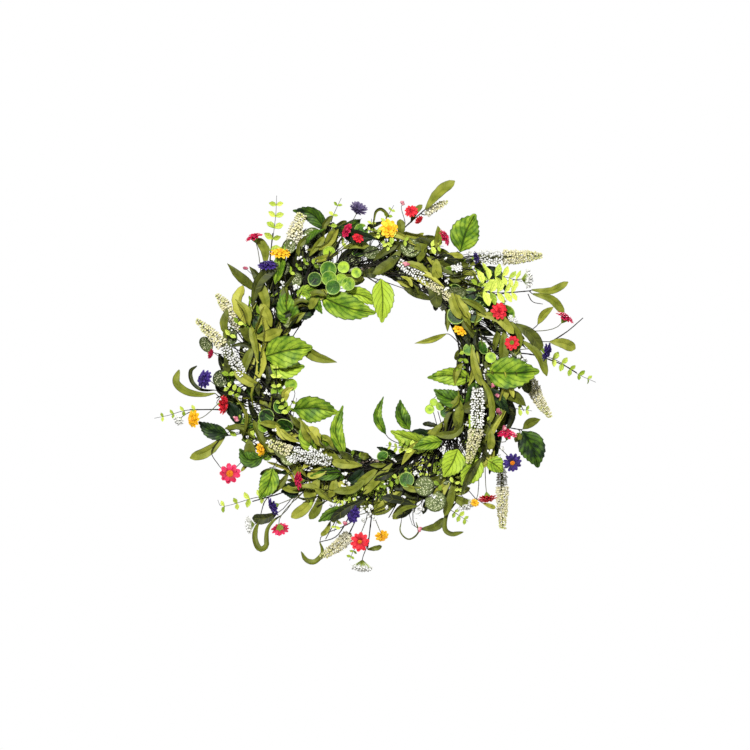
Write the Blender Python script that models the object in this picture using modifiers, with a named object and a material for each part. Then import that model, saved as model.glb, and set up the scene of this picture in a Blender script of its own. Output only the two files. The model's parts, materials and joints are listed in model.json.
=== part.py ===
"""An artificial wildflower wreath, as separate pieces in their working places.

A steel hoop is twisted round with three vine strands. Twelve tape bindings hold the feet of the
wired flower and leaf sprigs against the vines. The sprigs all lean the same way round the ring.

The wreath hangs in the XZ plane and faces -Y, with +Z up. The origin is where a hook carries
the ring: the top of the vine bundle's inner edge. Layouts are drawn on a flat board seen from
the front, in millimetres: x to the right and z up from the middle of the ring, and `forward`
out of the board.
"""

import math

import bmesh
import bpy
from mathutils import Matrix, Vector

MM = 0.001

# The ring.
RING_RADIUS = 125 * MM
HOOP_WIRE_RADIUS = 1.25 * MM
VINE_STRANDS = 3
VINE_STRAND_RADIUS = 2.2 * MM
VINE_TURNS = 5
VINE_POINTS_PER_TURN = 11
VINE_TO_HOOP_GAP = 0.6 * MM

# The bindings and the feet of the stems that they hold.
BINDINGS = 12
FIRST_BINDING_DEG = -10
BINDING_LENGTH = 12 * MM
BINDING_TAPE_THICKNESS = 1.0 * MM
BINDING_SIDES = 16
FOOT_LENGTH = 18 * MM
FOOT_TO_VINE_GAP = 0.7 * MM
FOOT_TO_TAPE_GAP = 0.3 * MM

# The sprigs.
BOARD_RADIUS = 125 * MM
STEM_RADIUS = 1.0 * MM
TWIG_RADIUS = 0.8 * MM
LEAF_THICKNESS = 1.0 * MM
LEAF_FOOT_WIDTH = 1.4 * MM
PETAL_THICKNESS = 1.4 * MM
DAISY_EYE_HEIGHT = 3.4 * MM
CALYX_DEPTH = 2.5 * MM
STEPS_PER_SPAN = 2
WELD_DISTANCE = 0.01 * MM

# Worked out from the sizes above.
VINE_HELIX_RADIUS = HOOP_WIRE_RADIUS + VINE_TO_HOOP_GAP + VINE_STRAND_RADIUS
BUNDLE_RADIUS = VINE_HELIX_RADIUS + VINE_STRAND_RADIUS
FOOT_OFFSET = BUNDLE_RADIUS + FOOT_TO_VINE_GAP + STEM_RADIUS
TAPE_INNER_RADIUS = FOOT_OFFSET + STEM_RADIUS + FOOT_TO_TAPE_GAP
TAPE_OUTER_RADIUS = TAPE_INNER_RADIUS + BINDING_TAPE_THICKNESS
RING_CENTRE = Vector((0, 0, BUNDLE_RADIUS - RING_RADIUS))

# How far round the bundle a foot sits, from its front towards the outside of the ring.
SEATS_DEG = {"inside": -70, "front_inside": -30, "front": 10, "front_outside": 50, "outside": 90, "back": 130}


# ---------------------------------------------------------------- scene and materials


def clear_scene():
    for obj in list(bpy.data.objects):
        bpy.data.objects.remove(obj, do_unlink=True)


def make_collection(name):
    collection = bpy.data.collections.new(name)
    bpy.context.scene.collection.children.link(collection)
    return collection


def make_material(name, colour, roughness, metallic=0.0):
    material = bpy.data.materials.new(name)
    material.use_nodes = True
    shader = material.node_tree.nodes["Principled BSDF"]
    shader.inputs["Base Color"].default_value = (*colour, 1.0)
    shader.inputs["Roughness"].default_value = roughness
    shader.inputs["Metallic"].default_value = metallic
    material.diffuse_color = (*colour, 1.0)
    return material


def make_materials():
    return {
        "steel": make_material("hoop_steel", (0.30, 0.30, 0.29), 0.45, 0.9),
        "vine": make_material("vine_bark", (0.10, 0.07, 0.045), 0.85),
        "tape": make_material("binding_tape", (0.13, 0.15, 0.06), 0.75),
        "mint": make_material("mint_leaf_green", (0.17, 0.34, 0.03), 0.55),
        "strap": make_material("strap_leaf_olive", (0.20, 0.25, 0.05), 0.5),
        "eucalyptus": make_material("eucalyptus_grey_green", (0.17, 0.23, 0.12), 0.7),
        "round": make_material("round_leaf_green", (0.10, 0.26, 0.04), 0.5),
        "fern": make_material("fern_lime", (0.45, 0.60, 0.12), 0.6),
        "red": make_material("daisy_red", (0.70, 0.02, 0.05), 0.6),
        "pink": make_material("daisy_pink", (0.75, 0.05, 0.16), 0.6),
        "purple": make_material("daisy_purple", (0.05, 0.02, 0.20), 0.6),
        "yellow": make_material("daisy_yellow", (0.85, 0.45, 0.02), 0.6),
        "cream": make_material("spike_cream", (0.75, 0.74, 0.50), 0.8),
        "white": make_material("umbel_white", (0.85, 0.85, 0.80), 0.8),
    }


# ---------------------------------------------------------------- places on the ring


def on_board(x, z, forward):
    """A board place in millimetres as a point in the part's frame.

    The board was drawn on a ring of BOARD_RADIUS. Another ring carries each place straight
    outwards with it.
    """
    flat = Vector((x * MM, 0, z * MM))
    outwards = flat.normalized() * (RING_RADIUS - BOARD_RADIUS)
    return RING_CENTRE + flat + outwards + Vector((0, -forward * MM, 0))


def outward_at(clock):
    return Vector((math.sin(clock), 0, math.cos(clock)))


def along_at(clock):
    """The direction of growth: clockwise round the ring as seen from the front."""
    return Vector((math.cos(clock), 0, -math.sin(clock)))


def around_bundle(clock, turn, distance):
    """A point at this distance from the hoop's centre line. Turn 0 is in front, and a right angle outside."""
    from_hoop = Vector((0, -math.cos(turn), 0)) + outward_at(clock) * math.sin(turn)
    return RING_CENTRE + outward_at(clock) * RING_RADIUS + from_hoop * distance


def binding_clock(number):
    return math.radians(FIRST_BINDING_DEG + 360 / BINDINGS * number)


# ---------------------------------------------------------------- solids


def move_to(obj, collection):
    for owner in obj.users_collection:
        owner.objects.unlink(obj)
    collection.objects.link(obj)


def add_object(name, mesh, collection, material):
    obj = bpy.data.objects.new(name, mesh)
    mesh.materials.clear()
    mesh.materials.append(material)
    collection.objects.link(obj)
    return obj


def as_mesh(obj):
    """The evaluated mesh of a helper object in world space. It removes the helper."""
    bpy.context.view_layer.update()
    graph = bpy.context.evaluated_depsgraph_get()
    mesh = bpy.data.meshes.new_from_object(obj.evaluated_get(graph))
    mesh.transform(obj.matrix_world)
    bpy.data.objects.remove(obj, do_unlink=True)
    return mesh


def closed_mesh(obj):
    """as_mesh for a curve or a turned profile, whose caps and seams are loose until they are welded."""
    mesh = as_mesh(obj)
    cleaned = bmesh.new()
    cleaned.from_mesh(mesh)
    bmesh.ops.remove_doubles(cleaned, verts=cleaned.verts, dist=WELD_DISTANCE)
    bmesh.ops.recalc_face_normals(cleaned, faces=cleaned.faces)
    cleaned.to_mesh(mesh)
    cleaned.free()
    return mesh


def new_curve(name, points, cyclic=False):
    curve = bpy.data.curves.new(name, "CURVE")
    curve.dimensions = "3D"
    spline = curve.splines.new("POLY")
    spline.points.add(len(points) - 1)
    for point, place in zip(spline.points, points):
        point.co = (*place, 1)
    spline.use_cyclic_u = cyclic
    obj = bpy.data.objects.new(name, curve)
    bpy.context.scene.collection.objects.link(obj)
    return obj


def wire_mesh(points, radius):
    wire = new_curve("wire", points)
    wire.data.bevel_depth = radius
    wire.data.bevel_resolution = 1
    wire.data.use_fill_caps = True
    return closed_mesh(wire)


def plate_mesh(outline, thickness, placing):
    """A flat outline in X and Y, made solid half each way from its plane and put in its place."""
    plate = new_curve("plate", [(x, y, 0) for x, y in outline], cyclic=True)
    plate.data.dimensions = "2D"
    plate.data.fill_mode = "BOTH"
    plate.data.extrude = thickness / 2
    plate.matrix_world = placing
    return closed_mesh(plate)


def turned_mesh(profile, sides, placing):
    """A turned solid about Z, from (radius, height) points that run from its top to its bottom."""
    mesh = bpy.data.meshes.new("profile")
    rows = [(radius, 0, height) for radius, height in profile]
    mesh.from_pydata(rows, [(i, i + 1) for i in range(len(rows) - 1)], [])
    turned = bpy.data.objects.new("turned", mesh)
    bpy.context.scene.collection.objects.link(turned)
    screw = turned.modifiers.new("turn", "SCREW")
    screw.steps = sides
    screw.render_steps = sides
    screw.use_merge_vertices = True
    screw.merge_threshold = WELD_DISTANCE
    turned.matrix_world = placing
    return closed_mesh(turned)


def facing(place, normal, along=None):
    """A placing whose Z runs along the normal and whose X runs as near as can be along `along`."""
    z_axis = normal.normalized()
    hint = along if along is not None else Vector((0, 0, 1))
    if abs(hint.normalized().dot(z_axis)) > 0.99:
        hint = Vector((1, 0, 0))
    y_axis = z_axis.cross(hint).normalized()
    x_axis = y_axis.cross(z_axis)
    turned = Matrix((x_axis, y_axis, z_axis)).transposed().to_4x4()
    return Matrix.Translation(place) @ turned


def united(meshes):
    """One closed body of meshes that run into each other."""
    base = bpy.data.objects.new("united", meshes[0])
    bpy.context.scene.collection.objects.link(base)
    helpers = []
    for mesh in meshes[1:]:
        helper = bpy.data.objects.new("helper", mesh)
        bpy.context.scene.collection.objects.link(helper)
        helpers.append(helper)
        union = base.modifiers.new("union", "BOOLEAN")
        union.operation = "UNION"
        # EXACT can leave open edges where several twigs start inside one stem's end.
        union.solver = "MANIFOLD"
        union.object = helper
    mesh = as_mesh(base)
    for helper in helpers:
        bpy.data.objects.remove(helper, do_unlink=True)
    return mesh


# ---------------------------------------------------------------- what grows on a stem

LEAF_WIDTHS = {
    "mint": ((0.10, 0.45), (0.30, 0.95), (0.55, 0.90), (0.80, 0.50)),
    "strap": ((0.12, 0.60), (0.50, 1.00), (0.85, 0.70)),
    "fern": ((0.45, 1.00),),
}


def leaf_outline(kind, length, width):
    stations = ((0, LEAF_FOOT_WIDTH / width), *LEAF_WIDTHS[kind])
    upper = [(share * length, wide * width / 2) for share, wide in stations]
    lower = [(x, -y) for x, y in reversed(upper)]
    return [*upper, (length, 0), *lower]


class Sprig:
    """One wired stem with what grows on it, built up as meshes that run into each other."""

    def __init__(self, name, binding, seat, route):
        clock = binding_clock(binding)
        turn = math.radians(SEATS_DEG[seat])
        self.name = name
        self.origin = around_bundle(clock, turn, FOOT_OFFSET)
        half_foot = along_at(clock) * FOOT_LENGTH / 2
        self.foot = [self.origin - half_foot, self.origin + half_foot]
        self.free = smooth_run([*self.foot, *(on_board(*place) for place in route)])
        self.meshes = [wire_mesh([self.foot[0], *self.free], STEM_RADIUS)]

    def place_at(self, share):
        """The point at this share of the free stem."""
        last = len(self.free) - 1
        step = min(int(share * last), last - 1)
        return self.free[step].lerp(self.free[step + 1], share * last - step)

    def rooted(self, share, along):
        """Where a leaf or twig that grows `along` starts, sunk into the stem at this share of it."""
        return self.place_at(share) - along.normalized() * STEM_RADIUS

    def direction(self):
        return (self.free[-1] - self.free[-2]).normalized()

    def leaf(self, share, reach, width, kind="mint", normal=(0, -1, 0)):
        """A flat leaf from the stem. `reach` is (x, z, forward) from its base to its tip, in millimetres."""
        along = Vector((reach[0], -reach[2], reach[1])) * MM
        base = self.rooted(share, along)
        across = along.cross(Vector(normal))
        placing = facing(base, across.cross(along), along)
        outline = leaf_outline(kind, along.length, width * MM)
        self.meshes.append(plate_mesh(outline, LEAF_THICKNESS, placing))

    def branch(self, share, reach):
        """A side twig, and where it ends."""
        along = Vector((reach[0], -reach[2], reach[1])) * MM
        start = self.rooted(share, along)
        self.meshes.append(wire_mesh([start, start + along], TWIG_RADIUS))
        return start + along, along.normalized()

    def head(self, end, direction, look, profile, sides):
        """A turned head on the end of a twig. `look` is (x, z, forward), the way that it faces."""
        normal = Vector((look[0], -look[2], look[1])).normalized() if look else direction
        self.meshes.append(turned_mesh(profile, sides, facing(end, normal)))

    def daisy(self, share, reach, look, radius=12.5):
        end, direction = self.branch(share, reach)
        r = radius * MM
        profile = [(0, DAISY_EYE_HEIGHT), (r, PETAL_THICKNESS), (r, 0), (0, -CALYX_DEPTH)]
        self.head(end, direction, look, profile, 10)

    def umbel(self, share, reach, look, radius=11, depth=9):
        end, direction = self.branch(share, reach)
        r = radius * MM
        d = depth * MM
        profile = [(0, d), (r * 0.7, d * 0.92), (r, d * 0.6), (0, -1.5 * MM)]
        self.head(end, direction, look, profile, 8)

    def spike(self, reach, radius=7.5):
        """A tapered flower spike that carries on from the stem's end."""
        start = self.free[-1] - self.direction() * 3 * MM
        along = Vector((reach[0], -reach[2], reach[1])) * MM
        length = along.length
        r = radius * MM
        profile = [(0, length), (r * 0.45, length * 0.93), (r, length * 0.35), (r * 0.75, length * 0.06), (0, 0)]
        self.meshes.append(turned_mesh(profile, 8, facing(start, along)))

    def round_leaf(self, share, reach, radius, normal=(0, -1, 0)):
        """A round leaf whose edge is at the stem and whose middle is `reach` from it."""
        along = Vector((reach[0], -reach[2], reach[1])) * MM
        base = self.rooted(share, along)
        across = along.cross(Vector(normal))
        placing = facing(base, across.cross(along), along)
        r = radius * MM
        half_foot = LEAF_FOOT_WIDTH / 2
        corners = [math.radians(angle) for angle in range(-150, 151, 30)]
        rim = [(along.length + r * math.cos(a), r * math.sin(a)) for a in corners]
        outline = [(0, half_foot), (0, -half_foot), *rim]
        self.meshes.append(plate_mesh(outline, LEAF_THICKNESS, placing))

    def finish(self, collection, material):
        """The sprig as one node, with its origin on its foot's own axis."""
        mesh = united(self.meshes)
        mesh.transform(Matrix.Translation(-self.origin))
        mesh.shade_smooth()
        mesh.set_sharp_from_angle(angle=math.radians(35))
        obj = add_object(self.name, mesh, collection, material)
        obj.location = self.origin


def smooth_run(controls):
    """A smooth run from the second control to the last. The first only gives its starting direction."""
    ends = [*controls, controls[-1] * 2 - controls[-2]]
    run = [controls[1]]
    for before, start, stop, after in zip(ends, ends[1:], ends[2:], ends[3:]):
        for step in range(1, STEPS_PER_SPAN + 1):
            t = step / STEPS_PER_SPAN
            leaving = (stop - before) * 0.5
            arriving = (after - start) * 0.5
            run.append(
                start * (2 * t**3 - 3 * t**2 + 1)
                + leaving * (t**3 - 2 * t**2 + t)
                + stop * (3 * t**2 - 2 * t**3)
                + arriving * (t**3 - t**2)
            )
    return run


# ---------------------------------------------------------------- the ring


def build_hoop(collection, material):
    bpy.ops.mesh.primitive_torus_add(
        major_segments=VINE_TURNS * VINE_POINTS_PER_TURN,
        minor_segments=6,
        major_radius=RING_RADIUS,
        minor_radius=HOOP_WIRE_RADIUS,
        location=RING_CENTRE,
        rotation=(math.pi / 2, 0, 0),
    )
    hoop = bpy.context.object
    hoop.name = "wire_hoop"
    hoop.data.materials.append(material)
    hoop.data.shade_smooth()
    move_to(hoop, collection)


def build_vine(number, collection, material):
    points = []
    count = VINE_TURNS * VINE_POINTS_PER_TURN
    for step in range(count):
        share = step / count
        turn = math.tau * (VINE_TURNS * share + number / VINE_STRANDS)
        points.append(around_bundle(math.tau * share, turn, VINE_HELIX_RADIUS))
    strand = new_curve(f"vine_strand_{number + 1}", points, cyclic=True)
    strand.data.bevel_depth = VINE_STRAND_RADIUS
    strand.data.bevel_resolution = 1
    strand.data.materials.append(material)
    move_to(strand, collection)


def build_binding(number, collection, material):
    half = BINDING_LENGTH / 2
    # The tape's flats, and not its corners, clear the feet.
    inner = TAPE_INNER_RADIUS / math.cos(math.pi / BINDING_SIDES)
    outer = TAPE_OUTER_RADIUS / math.cos(math.pi / BINDING_SIDES)
    profile = [(inner, half), (outer, half), (outer, -half), (inner, -half), (inner, half)]
    clock = binding_clock(number)
    centre = around_bundle(clock, 0, 0)
    mesh = turned_mesh(profile, BINDING_SIDES, facing(Vector(), along_at(clock), outward_at(clock)))
    obj = add_object(f"binding_{number + 1}", mesh, collection, material)
    obj.location = centre


# ---------------------------------------------------------------- the sprigs, binding by binding


def top_sprigs(made):
    s = Sprig("strap_leaf_sprig_1", 0, "outside", [(10, 140, 4), (40, 172, 10), (74, 202, 14)])
    s.leaf(1.0, (33, 32, 2), 13, "strap")
    s.leaf(0.55, (2, 24, 4), 10, "strap")
    s.leaf(0.7, (26, 2, 3), 11, "strap")
    made(s, "strap")
    s = Sprig("daisy_sprig_1", 0, "front_outside", [(8, 138, 18), (24, 158, 26)])
    s.daisy(1.0, (-1, 16, 10), (0.2, 0.3, 1), 12)
    s.daisy(1.0, (26, 34, 6), (0.5, 0.5, 1), 9)
    made(s, "yellow")
    s = Sprig("mint_leaf_sprig_1", 0, "inside", [(-2, 112, 12), (10, 104, 18)])
    s.leaf(1.0, (4, -50, 6), 27)
    s.leaf(0.8, (34, 2, 6), 13)
    made(s, "mint")

    s = Sprig("flower_spike_1", 1, "front_outside", [(75, 126, 16), (120, 138, 18), (130, 139, 18)])
    s.spike((88, 1, -4), 9)
    made(s, "cream")
    s = Sprig("mint_leaf_sprig_2", 1, "outside", [(70, 128, -2), (112, 146, -3)])
    s.leaf(1.0, (22, 46, 2), 34)
    s.leaf(0.6, (-16, 26, 2), 14)
    made(s, "mint")
    s = Sprig("flower_spike_2", 1, "front_inside", [(58, 116, 17), (68, 110, 22)])
    s.spike((44, -34, 3))
    made(s, "cream")
    s = Sprig("daisy_sprig_2", 1, "front", [(66, 126, 22), (92, 142, 38)])
    s.daisy(1.0, (-2, 16, 4), (-0.3, 1, 0.4), 9)
    s.daisy(1.0, (36, 2, 4), (1, 0.2, 0.4), 9)
    made(s, "pink")


def upper_right_sprigs(made):
    s = Sprig("strap_leaf_sprig_2", 2, "outside", [(125, 84, 0), (165, 92, 3), (204, 96, 6)])
    s.leaf(1.0, (46, 10, 2), 10, "strap")
    s.leaf(0.9, (46, -24, -2), 11, "strap")
    made(s, "strap")
    s = Sprig("daisy_sprig_3", 2, "front_outside", [(125, 66, 18), (165, 50, 22), (205, 44, 24)])
    s.daisy(1.0, (36, 16, 4), (0.4, 0.8, 0.4), 12)
    s.daisy(0.5, (6, 16, 10), (0.1, 0.2, 1), 11)
    made(s, "red")
    s = Sprig("fern_sprig_1", 2, "front", [(120, 88, 26), (150, 100, 36)])
    for reach in ((26, 14, 6), (24, -8, 4), (4, 24, 5), (-8, 18, 2), (30, 2, 8)):
        s.leaf(1.0, reach, 12, "fern")
    s.umbel(0.6, (74, 26, -22), (1, 0.1, 0.1), 11, 8)
    made(s, "fern")

    s = Sprig("fern_sprig_2", 3, "outside", [(150, 16, 0), (200, 16, 4), (240, 4, 5), (262, -8, 6)])
    for share, side in ((0.5, 1), (0.62, -1), (0.75, 1), (0.86, -1)):
        s.leaf(share, (11, 13 * side - 3, 3), 7, "fern")
    s.leaf(1.0, (22, -11, 0), 7, "fern")
    made(s, "fern")
    s = Sprig("daisy_sprig_4", 3, "front_outside", [(140, 16, 16), (178, 16, 24)])
    s.daisy(0.85, (2, 14, 10), (0, 0.3, 1), 9)
    s.daisy(1.0, (40, 4, 8), (1, 0.1, 0.4), 11)
    s.leaf(1.0, (52, 20, 0), 13, "strap")
    made(s, "purple")
    s = Sprig("flower_spike_3", 3, "back", [(145, 0, -8), (180, -2, -10), (200, -12, -10)])
    s.spike((29, -52, 2))
    made(s, "cream")
    s = Sprig("mint_leaf_sprig_3", 3, "front_inside", [(118, -2, 20), (126, -12, 23)])
    s.leaf(1.0, (80, 6, 9), 34)
    s.leaf(0.8, (-50, -4, 4), 22)
    made(s, "mint")
    s = Sprig("flower_spike_4", 3, "front", [(134, -4, 30), (138, -30, 36)])
    s.spike((-12, -88, 2), 9)
    made(s, "cream")


def lower_right_sprigs(made):
    s = Sprig("mint_leaf_sprig_4", 4, "outside", [(140, -62, 0), (172, -76, 4), (190, -80, 6)])
    s.leaf(1.0, (22, -44, 2), 28)
    s.leaf(1.0, (24, 10, 2), 9)
    made(s, "mint")
    s = Sprig("daisy_sprig_5", 4, "front_outside", [(138, -72, 16), (150, -100, 18)])
    s.daisy(0.8, (26, 6, 6), (0.3, 0.9, 0.3), 12)
    s.daisy(1.0, (28, -18, 6), (0.1, -0.3, 1), 11)
    s.daisy(1.0, (-4, -62, 2), (0, -1, 0.3), 12)
    made(s, "red")
    s = Sprig("flower_spike_5", 4, "back", [(136, -80, -8), (162, -112, -9), (168, -134, -9)])
    s.spike((1, -72, 2))
    made(s, "cream")

    s = Sprig("eucalyptus_sprig_1", 5, "front_outside", [(84, -122, 14), (78, -146, 22)])
    s.round_leaf(0.9, (-12, -6, 2), 12)
    s.round_leaf(1.0, (6, -22, 2), 13)
    s.round_leaf(0.4, (14, -4, 2), 10)
    made(s, "eucalyptus")
    s = Sprig("mint_leaf_sprig_5", 5, "inside", [(60, -98, 10), (50, -94, 13)])
    s.leaf(1.0, (-12, 52, 2), 18)
    s.leaf(0.6, (-34, 12, 6), 26)
    made(s, "mint")
    s = Sprig("strap_leaf_sprig_3", 5, "outside", [(72, -124, 0), (60, -150, 4), (54, -162, 6)])
    s.leaf(1.0, (-24, -30, 2), 13, "strap")
    s.leaf(0.8, (-44, -20, 4), 10, "strap")
    s.leaf(0.9, (34, -38, 0), 10, "strap")
    made(s, "strap")


def bottom_sprigs(made):
    s = Sprig("daisy_sprig_6", 6, "front_outside", [(8, -148, 18), (0, -190, 24)])
    s.daisy(1.0, (-13, -27, 8), (-0.1, 0.1, 1), 12)
    s.daisy(1.0, (15, -21, 4), (0.1, -0.3, 1), 8)
    s.daisy(0.6, (-22, -9, 7), (-0.8, 0, 0.6), 11)
    made(s, "red")
    s = Sprig("umbel_sprig_1", 6, "outside", [(8, -146, 0), (2, -190, 2), (-3, -232, 4)])
    s.umbel(1.0, (-8, -18, 0), (-0.1, -1, 0.2), 13, 8)
    made(s, "white")
    s = Sprig("flower_spike_6", 6, "back", [(-2, -146, -10), (-16, -190, -10), (-28, -216, -10)])
    s.spike((-34, -26, 0), 7)
    made(s, "cream")

    s = Sprig("daisy_sprig_7", 7, "front_outside", [(-64, -138, 16), (-94, -168, 24)])
    s.daisy(1.0, (-18, -30, 2), (0, -1, 0.3), 10)
    s.daisy(1.0, (-24, -8, 8), (-1, 0.1, 0.5), 12)
    made(s, "purple")
    s = Sprig("strap_leaf_sprig_4", 7, "outside", [(-58, -140, 2), (-68, -158, 6)])
    s.leaf(1.0, (-30, -31, 2), 13, "strap")
    s.leaf(1.0, (-8, -34, 4), 11, "strap")
    s.leaf(0.8, (14, -36, 2), 11, "strap")
    made(s, "strap")
    s = Sprig("flower_spike_7", 7, "front_inside", [(-56, -112, 18), (-66, -112, 22)])
    s.spike((-60, 14, 4))
    made(s, "cream")
    s = Sprig("fern_sprig_3", 7, "back", [(-76, -142, -8), (-110, -160, -9), (-150, -172, -8)])
    for share, side in ((0.55, 1), (0.7, -1), (0.85, 1)):
        s.leaf(share, (-11, 12 * side - 2, 2), 8, "fern")
    s.leaf(1.0, (-38, 0, 2), 8, "fern")
    s.umbel(0.7, (-40, -36, 0), (-1, -0.2, 0.2), 11, 7)
    made(s, "fern")


def left_sprigs(made):
    s = Sprig("daisy_sprig_8", 8, "front_outside", [(-122, -88, 16), (-152, -104, 24)])
    s.daisy(1.0, (-23, -30, 8), (-0.2, -0.2, 1), 13)
    s.daisy(0.6, (-6, -10, 8), (-0.8, 0.2, 0.6), 9)
    made(s, "pink")
    s = Sprig("strap_leaf_sprig_5", 8, "outside", [(-122, -80, 0), (-156, -84, 4), (-184, -88, 6)])
    s.leaf(1.0, (-43, -26, 2), 13, "strap")
    s.leaf(0.9, (-34, 16, 2), 16, "strap")
    made(s, "strap")
    s = Sprig("mint_leaf_sprig_6", 8, "inside", [(-100, -62, 10), (-100, -56, 12)])
    s.leaf(1.0, (58, -2, 6), 32)
    s.leaf(0.9, (34, -32, 10), 20)
    made(s, "mint")
    s = Sprig("fern_sprig_4", 8, "back", [(-130, -68, -9), (-180, -56, -10), (-230, -55, -9)])
    for share, side in ((0.6, 1), (0.72, -1), (0.85, 1)):
        s.leaf(share, (-11, 11 * side, 2), 7, "fern")
    s.leaf(1.0, (-44, -11, 2), 7, "fern")
    made(s, "fern")

    s = Sprig("daisy_sprig_9", 9, "outside", [(-148, -20, 2), (-176, -32, 10), (-194, -40, 14)])
    s.daisy(1.0, (-27, -26, 4), (-1, -0.1, 0.4), 12)
    s.daisy(0.8, (-4, -14, 12), (-0.7, 0, 0.7), 12)
    s.daisy(1.0, (-12, 24, 6), (-0.6, 0.2, 0.8), 11)
    s.leaf(1.0, (-50, 18, 2), 9, "strap")
    made(s, "purple")
    s = Sprig("mint_leaf_sprig_7", 9, "front_inside", [(-122, 4, 18), (-128, 12, 22)])
    s.leaf(1.0, (57, 4, 6), 38)
    s.leaf(0.7, (-28, 4, 6), 18)
    made(s, "mint")
    s = Sprig("flower_spike_8", 9, "front", [(-142, 0, 28), (-168, 6, 32)])
    s.spike((-50, 52, 2))
    made(s, "cream")
    s = Sprig("flower_spike_9", 9, "back", [(-134, 8, -8), (-152, 34, -10), (-166, 50, -10)])
    s.spike((-28, 44, 0))
    made(s, "cream")


def upper_left_sprigs(made):
    s = Sprig("daisy_sprig_10", 10, "front_outside", [(-128, 70, 18), (-128, 104, 26)])
    s.daisy(1.0, (1, 20, 6), (0.1, 0.9, 0.4), 12)
    s.daisy(1.0, (18, 36, 4), (0.1, 0.9, 0.4), 12)
    s.daisy(1.0, (-17, 56, 2), (-0.7, 0.7, 0.2), 11)
    made(s, "yellow")
    s = Sprig("strap_leaf_sprig_6", 10, "outside", [(-136, 70, 0), (-140, 106, 4), (-138, 126, 4)])
    s.leaf(1.0, (-4, 38, 0), 9, "strap")
    s.leaf(0.6, (-38, 28, 0), 11, "strap")
    s.leaf(0.4, (-12, 28, 4), 11, "strap")
    made(s, "strap")
    s = Sprig("fern_sprig_5", 10, "back", [(-130, 86, -9), (-128, 130, -10), (-124, 170, -9)])
    for share, side in ((0.6, 1), (0.72, -1), (0.84, 1)):
        s.leaf(share, (11 * side, 12, 2), 7, "fern")
    s.leaf(1.0, (4, 44, 2), 8, "fern")
    made(s, "fern")

    s = Sprig("mint_leaf_sprig_8", 11, "outside", [(-66, 122, 0), (-54, 156, 2), (-52, 172, 2)])
    s.leaf(1.0, (-42, 26, 2), 16)
    s.leaf(0.9, (36, 18, 2), 16)
    made(s, "mint")
    s = Sprig("eucalyptus_sprig_2", 11, "front_outside", [(-72, 118, 16), (-66, 144, 20)])
    s.round_leaf(1.0, (-8, 16, 2), 12)
    s.round_leaf(0.6, (-16, -2, 2), 10)
    made(s, "eucalyptus")
    s = Sprig("round_leaf_sprig_1", 11, "front_inside", [(-60, 104, 20), (-40, 112, 26)])
    s.round_leaf(0.8, (-5, 8, 0), 9)
    s.round_leaf(0.9, (-4, -13, 2), 10)
    s.round_leaf(1.0, (10, 8, 2), 8)
    s.round_leaf(1.0, (13, -8, 5), 8)
    made(s, "round")
    s = Sprig("mint_leaf_sprig_9", 11, "inside", [(-66, 90, 10), (-60, 84, 12)])
    s.leaf(1.0, (66, -14, -2), 30)
    s.leaf(0.5, (24, -20, -6), 16)
    made(s, "mint")
    s = Sprig("daisy_sprig_11", 11, "front", [(-60, 126, 31), (-38, 147, 38)])
    s.daisy(1.0, (6, 24, 3), (-0.6, 0.4, 0.6), 8)
    s.daisy(1.0, (23, 12, 6), (0.3, 0.2, 1), 7)
    s.daisy(0.9, (22, 50, -3), (0.2, 0.7, 0.6), 10)
    made(s, "pink")


def main():
    clear_scene()
    collection = make_collection("wildflower_wreath")
    materials = make_materials()
    build_hoop(collection, materials["steel"])
    for number in range(VINE_STRANDS):
        build_vine(number, collection, materials["vine"])
    for number in range(BINDINGS):
        build_binding(number, collection, materials["tape"])

    def made(sprig, finish):
        sprig.finish(collection, materials[finish])

    for build in (top_sprigs, upper_right_sprigs, lower_right_sprigs, bottom_sprigs, left_sprigs, upper_left_sprigs):
        build(made)


if __name__ == "__main__":
    main()
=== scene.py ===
"""Looks of the artificial wildflower wreath: its twigs, leaves, flowers, light and camera.

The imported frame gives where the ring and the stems' feet are. Layouts are drawn on a flat board
seen from the front, in millimetres: x to the right and z up from the middle of the ring, and
`forward` out of the board. Every leaf, petal and floret is a copy of a form that is modelled once.
"""

import json
import logging
import math
from collections.abc import Callable, Sequence
from dataclasses import dataclass, field
from enum import Enum

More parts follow.
